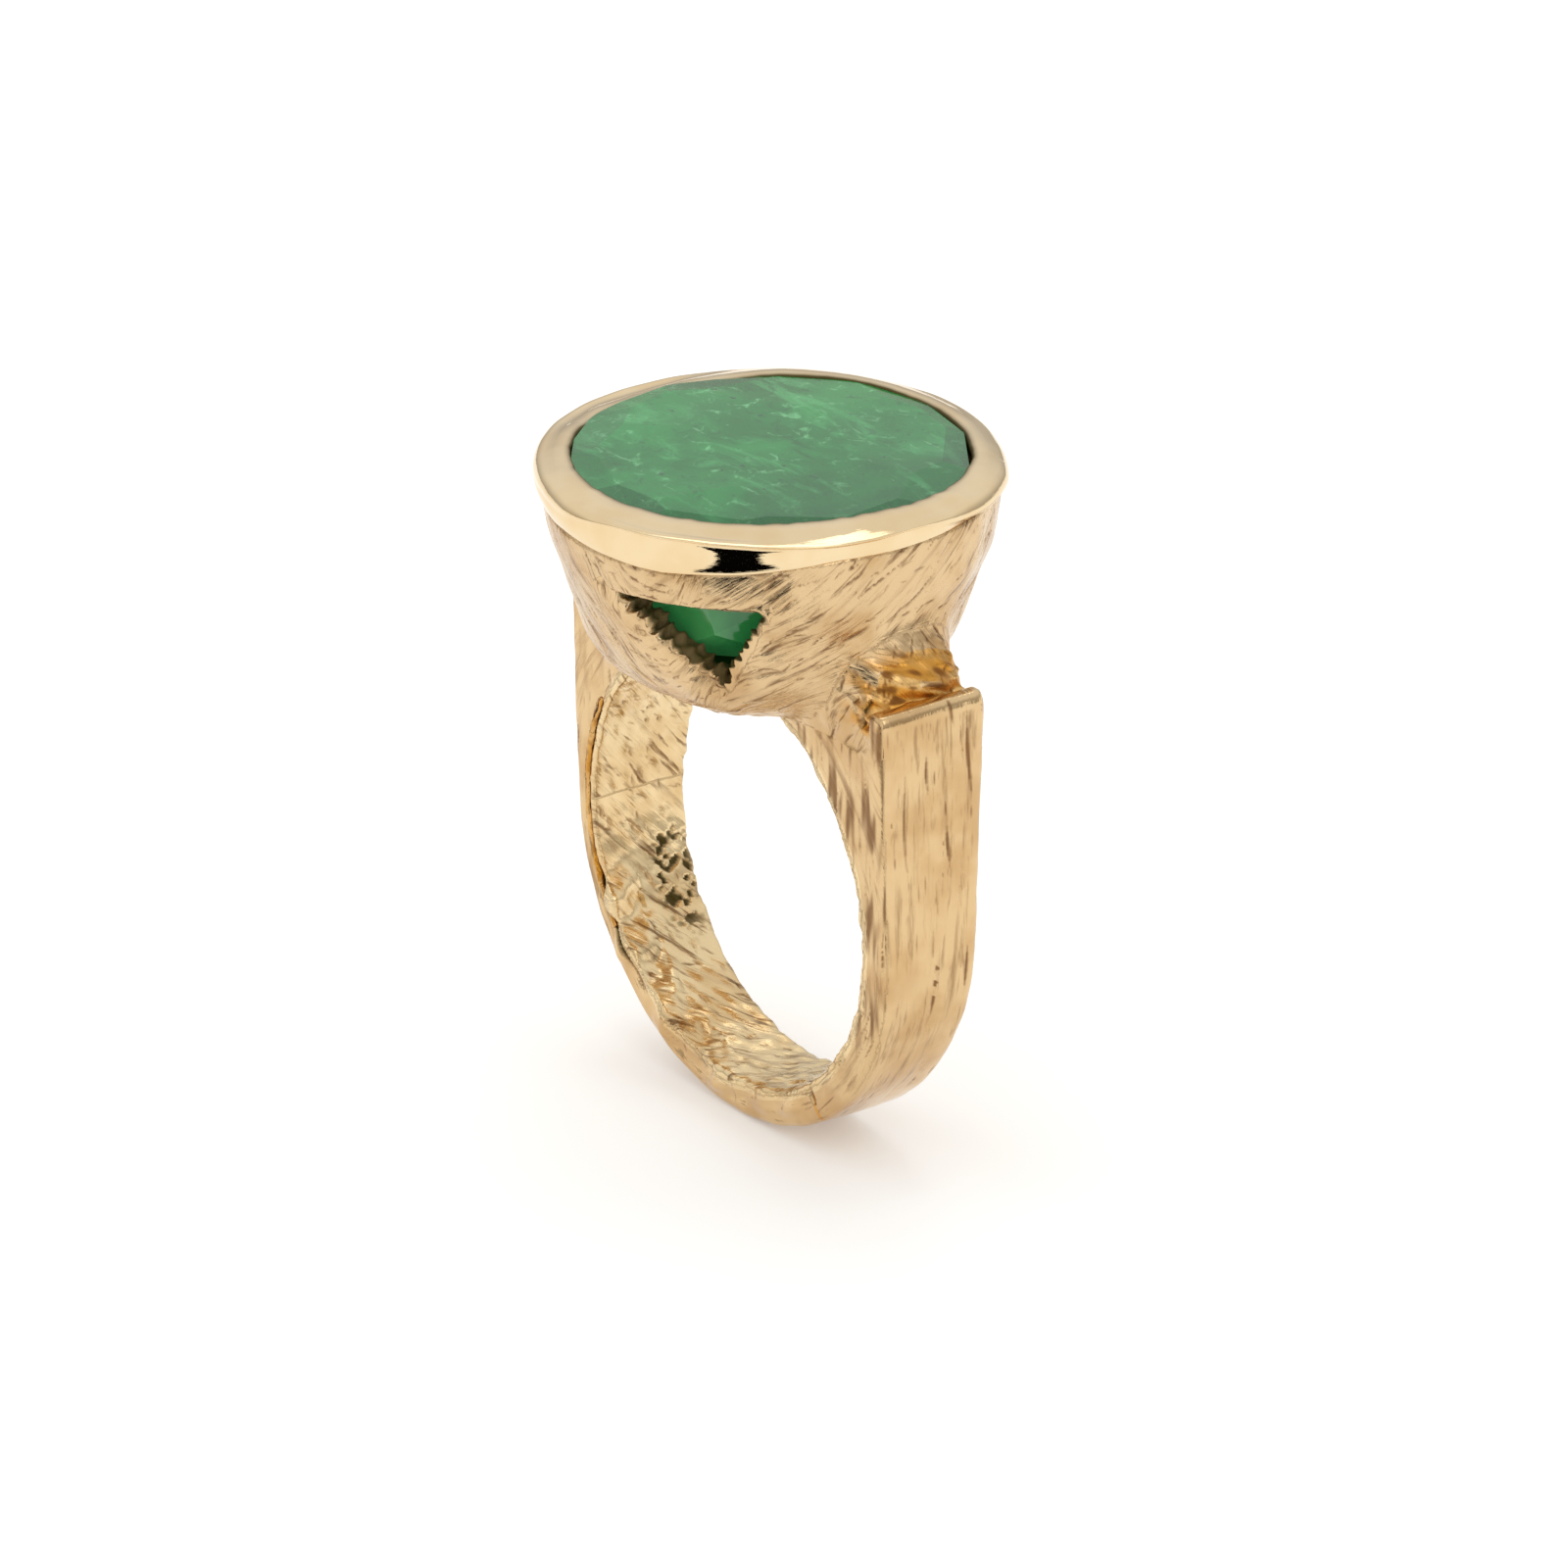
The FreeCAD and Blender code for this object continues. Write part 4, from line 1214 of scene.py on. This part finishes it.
def studio_world(brightness):
    """A white tent: bright all round and a little greyer low down."""
    world = bpy.data.worlds.new("white_tent")
    world.use_nodes = True
    tree = world.node_tree
    tree.nodes.clear()
    towards = add(tree, "ShaderNodeTexCoord").outputs["Generated"]
    height = add(tree, "ShaderNodeSeparateXYZ", {0: towards}).outputs[2]
    tent = paint(tree, "#B9B5AE", [(height, -0.1, 0.55, 1.0, "#FFFFFF")])
    back = add(tree, "ShaderNodeBackground", {"Color": tent, "Strength": brightness})
    add(tree, "ShaderNodeOutputWorld", {"Surface": back.outputs[0]})
    bpy.context.scene.world = world


def soft_light(name, place, size, power):
    """A white rectangular lamp that faces the ring."""
    lamp = bpy.data.lights.new(name, "AREA")
    lamp.shape = "RECTANGLE"
    lamp.size, lamp.size_y = size
    lamp.energy = power
    made = new_object(name, lamp)
    made.location = place
    made.rotation_euler = (-Vector(place)).to_track_quat("-Z", "Y").to_euler()


def plain(name, colour, rough, own_light=0.0):
    """One colour with no sheen, for the things that stand around the ring."""
    material, tree = new_material(name)
    shader = add(tree, "ShaderNodeBsdfPrincipled", {
        "Base Color": linear(colour), "Roughness": rough, "Specular IOR Level": 0.0,
        "Emission Color": (1, 1, 1, 1), "Emission Strength": own_light})
    add(tree, "ShaderNodeOutputMaterial", {"Surface": shader.outputs[0]})
    return material


def sheet_on_floor(name, low, high, height, material):
    """A level rectangle between two corners, in millimetres."""
    mesh = bpy.data.meshes.new(name)
    corners = [(low[0], low[1]), (high[0], low[1]), (high[0], high[1]), (low[0], high[1])]
    mesh.from_pydata([(x * MM, y * MM, height * MM) for x, y in corners], [], [(0, 1, 2, 3)])
    mesh.materials.append(material)
    made = new_object(name, mesh)
    return made


def stage(sizes):
    """Floor, tent, soft lights, a black card for the collar's dark reflection, and the camera."""
    scene = bpy.context.scene
    scene.view_settings.view_transform = "Standard"
    studio_world(sizes.tent_brightness)
    ground = cad_box[0].z / MM
    sheet_on_floor("floor", (-2000, -2000), (2000, 2000), ground,
                   plain("white_paper_matt", "#F2F1EF", 0.9, 0.22))
    card = sheet_on_floor("black_card", (36, -14), (150, 14), ground + 0.3,
                          plain("black_card_matt", "#050505", 0.9))
    card.data.transform(Matrix.Rotation(sizes.card_turn, 4, "Z"))
    # only the polished gold shows it
    card.visible_camera = card.visible_shadow = card.visible_diffuse = False
    soft_light("top_softbox", (-0.10, 0.05, 0.45), (0.30, 0.30), sizes.softbox_power)
    soft_light("side_softbox", (0.35, -0.05, 0.25), (0.20, 0.30), sizes.softbox_power * 0.5)
    turn, rise = sizes.view_turn, sizes.view_rise
    back = Vector((sin(turn) * cos(rise), -cos(turn) * cos(rise), sin(rise)))
    right = Vector((cos(turn), sin(turn), 0))
    aim = (Vector((0, 0, 3)) + right * sizes.view_shift_right + back.cross(right) * sizes.view_shift_up) * MM
    lens = bpy.data.cameras.new("camera")
    lens.sensor_width = 36
    lens.lens = sizes.lens
    camera = new_object("camera", lens)
    camera.location = aim + back * sizes.view_distance * MM
    camera.rotation_euler = (-back).to_track_quat("-Z", "Y").to_euler()
    lens.clip_start, lens.clip_end = 0.01, 10
    scene.camera = camera


# ---------------------------------------------------------------- add-on

def millimetres(name, description, default):
    """A length property."""
    return bpy.props.FloatProperty(name=name, description=description, default=default * MM,
                                   unit="LENGTH", precision=5)


def degrees(name, description, default):
    """An angle property."""
    return bpy.props.FloatProperty(name=name, description=description, default=radians(default),
                                   subtype="ANGLE")


def hex_colour(name, description, default):
    """A colour property."""
    return bpy.props.FloatVectorProperty(name=name, description=description, default=linear(default),
                                         size=4, min=0, max=1, subtype="COLOR")


def in_mm(group):
    """A group's values for the pieces' functions: its lengths in millimetres, the others as they are."""
    kinds = group.bl_rna.properties
    return SimpleNamespace(**{
        name: round(value / MM, 5) if kinds[name].unit == "LENGTH" else value
        for name, value in ((name, getattr(group, name)) for name in group.__annotations__)})


class RingSizes(bpy.types.PropertyGroup):
    """Sizes of what is worked into the frame's solids."""
    skin_grain: millimetres("Skin grain", "Distance between points on the carved gold", 0.1)
    fillet_rounds: bpy.props.IntProperty(
        name="Fillet rounds", description="How far the necks run into the cup", default=260, min=0)
    window_turn: degrees("Window turn", "Direction that the front window faces", -60)
    window_width: millimetres("Window width", "Width of the window's top edge", 6.7)
    window_top: millimetres("Window top", "Height of the window's top edge", 13.75)
    window_apex: millimetres("Window apex", "Height of the window's point", 9.85)
    window_shift: millimetres("Window shift", "How far the point lies off the middle", 1.0)
    bite_width: millimetres("Bite width", "Distance between saw bites on the window's walls", 0.5)
    bite_depth: millimetres("Bite depth", "Depth of the saw bites", 0.26)
    seam_turn: degrees("Seam turn", "Where the band was sized", -55)
    seam_thickness: millimetres("Seam thickness", "Thickness of the solder in that seam", 0.2)
    collar_drop: millimetres("Collar drop", "How far the rolled top lies under the frame's collar", 0.22)
    lip_cover: millimetres("Lip cover", "How far the collar's lip laps over the stone", 0.18)
    stone_rise: millimetres("Stone rise", "How far the table stands above the frame's stone", 0.12)
    bead_thickness: millimetres("Bead thickness", "Radius of the solder bead along the liner", 0.13)


class RingFinish(bpy.types.PropertyGroup):
    """Colours of the gold and of the stone."""
    gold_polished: hex_colour("Polished gold", "The collar's clean metal", "#ECD5AC")
    # the satin and carved colours are darker than the polished one: painted shade for the darker studio that
    # those parts reflect
    gold_satin: hex_colour("Satin gold", "The straps' clean metal", "#DDBE8F")
    gold_carved: hex_colour("Carved gold", "The clean metal of the cup and necks", "#DCBE92")
    gold_worn: hex_colour("Worn gold", "The liner's clean metal", "#EBD2A4")
    gold_solder: hex_colour("Solder", "The clean metal of the solder", "#DDB374")
    torch_colour: hex_colour("Torch colour", "Tint that the torch leaves", "#C98A2B")
    # this colour is painted shade, laid in the gaps, windows, cracks, pits and hidden walls
    painted_shade_colour: hex_colour("Soot", "Oxide in the windows and cracks", "#4F410C")
    emerald_dark: hex_colour("Emerald, dark", "The darker green of the stone's body", "#0C702C")
    emerald_light: hex_colour("Emerald, light", "The lighter green of the stone's body", "#1F8D3F")
    emerald_veil: hex_colour("Emerald veils", "The pale veils in the stone", "#47AC62")


class RingStudio(bpy.types.PropertyGroup):
    """Camera and light."""
    tent_brightness: bpy.props.FloatProperty(
        name="Tent brightness", description="Strength of the white tent", default=0.9, min=0)
    softbox_power: bpy.props.FloatProperty(
        name="Softbox power", description="Power of the top softbox", default=0.35, min=0, unit="POWER")
    card_turn: degrees("Card turn", "Direction in which the black card lies", -51)
    view_turn: degrees("View turn", "Camera's direction, from the front", 53.7)
    view_rise: degrees("View rise", "Camera's elevation", 23.5)
    view_distance: millimetres("View distance", "Camera's distance from its aim", 350)
    view_shift_right: millimetres("Shift right", "Aim point's shift to the right", 0.52)
    view_shift_up: millimetres("Shift up", "Aim point's shift up", 0.11)
    lens: bpy.props.FloatProperty(
        name="Lens", description="Focal length on a 36 mm wide sensor", default=210.4, min=1, unit="CAMERA")


class RING_OT_gold_body(bpy.types.Operator):
    """Carve the cup, necks, straps and liner and part them"""
    bl_idname = "ring.gold_body"
    bl_label = "Carved gold"

    def execute(self, context):
        gold_body(in_mm(context.scene.ring_sizes))
        return {"FINISHED"}


class RING_OT_collar(bpy.types.Operator):
    """Roll the polished collar round the stone"""
    bl_idname = "ring.collar"
    bl_label = "Rolled collar"

    def execute(self, context):
        collar(in_mm(context.scene.ring_sizes))
        return {"FINISHED"}


class RING_OT_emerald(bpy.types.Operator):
    """Grind the emerald"""
    bl_idname = "ring.emerald"
    bl_label = "Emerald"

    def execute(self, context):
        emerald(in_mm(context.scene.ring_sizes))
        return {"FINISHED"}


class RING_OT_seat(bpy.types.Operator):
    """Finish the ledge under the stone"""
    bl_idname = "ring.seat"
    bl_label = "Stone seat"

    def execute(self, context):
        stone_seat()
        return {"FINISHED"}


class RING_OT_liner_bead(bpy.types.Operator):
    """Run the solder bead along the liner"""
    bl_idname = "ring.liner_bead"
    bl_label = "Liner bead"

    def execute(self, context):
        liner_bead(in_mm(context.scene.ring_sizes))
        return {"FINISHED"}


class RING_OT_stage(bpy.types.Operator):
    """Set the floor, the light and the camera"""
    bl_idname = "ring.stage"
    bl_label = "Stage"

    def execute(self, context):
        stage(in_mm(context.scene.ring_studio))
        return {"FINISHED"}


class RING_PT_panel(bpy.types.Panel):
    """The ring's pieces in the order they are made"""
    bl_idname = "RING_PT_panel"
    bl_label = "Cocktail ring"
    bl_space_type = "VIEW_3D"
    bl_region_type = "UI"
    bl_category = "Ring"

    def draw(self, context):
        for group in (context.scene.ring_sizes, context.scene.ring_finish, context.scene.ring_studio):
            for name in group.__annotations__:
                self.layout.prop(group, name)
        for operator in PIECES:
            self.layout.operator(operator.bl_idname)


PIECES = (RING_OT_gold_body, RING_OT_collar, RING_OT_emerald, RING_OT_seat, RING_OT_liner_bead,
          RING_OT_stage)
CLASSES = (RingSizes, RingFinish, RingStudio, *PIECES, RING_PT_panel)


def register():
    for one in CLASSES:
        bpy.utils.register_class(one)
    bpy.types.Scene.ring_sizes = bpy.props.PointerProperty(type=RingSizes)
    bpy.types.Scene.ring_finish = bpy.props.PointerProperty(type=RingFinish)
    bpy.types.Scene.ring_studio = bpy.props.PointerProperty(type=RingStudio)


def unregister():
    del bpy.types.Scene.ring_sizes, bpy.types.Scene.ring_finish, bpy.types.Scene.ring_studio
    for one in reversed(CLASSES):
        bpy.utils.unregister_class(one)


def main():
    register()
    bpy.ops.ring.gold_body()
    bpy.ops.ring.collar()
    bpy.ops.ring.emerald()
    bpy.ops.ring.seat()
    bpy.ops.ring.liner_bead()
    bpy.ops.ring.stage()


if __name__ == "__main__":
    main()
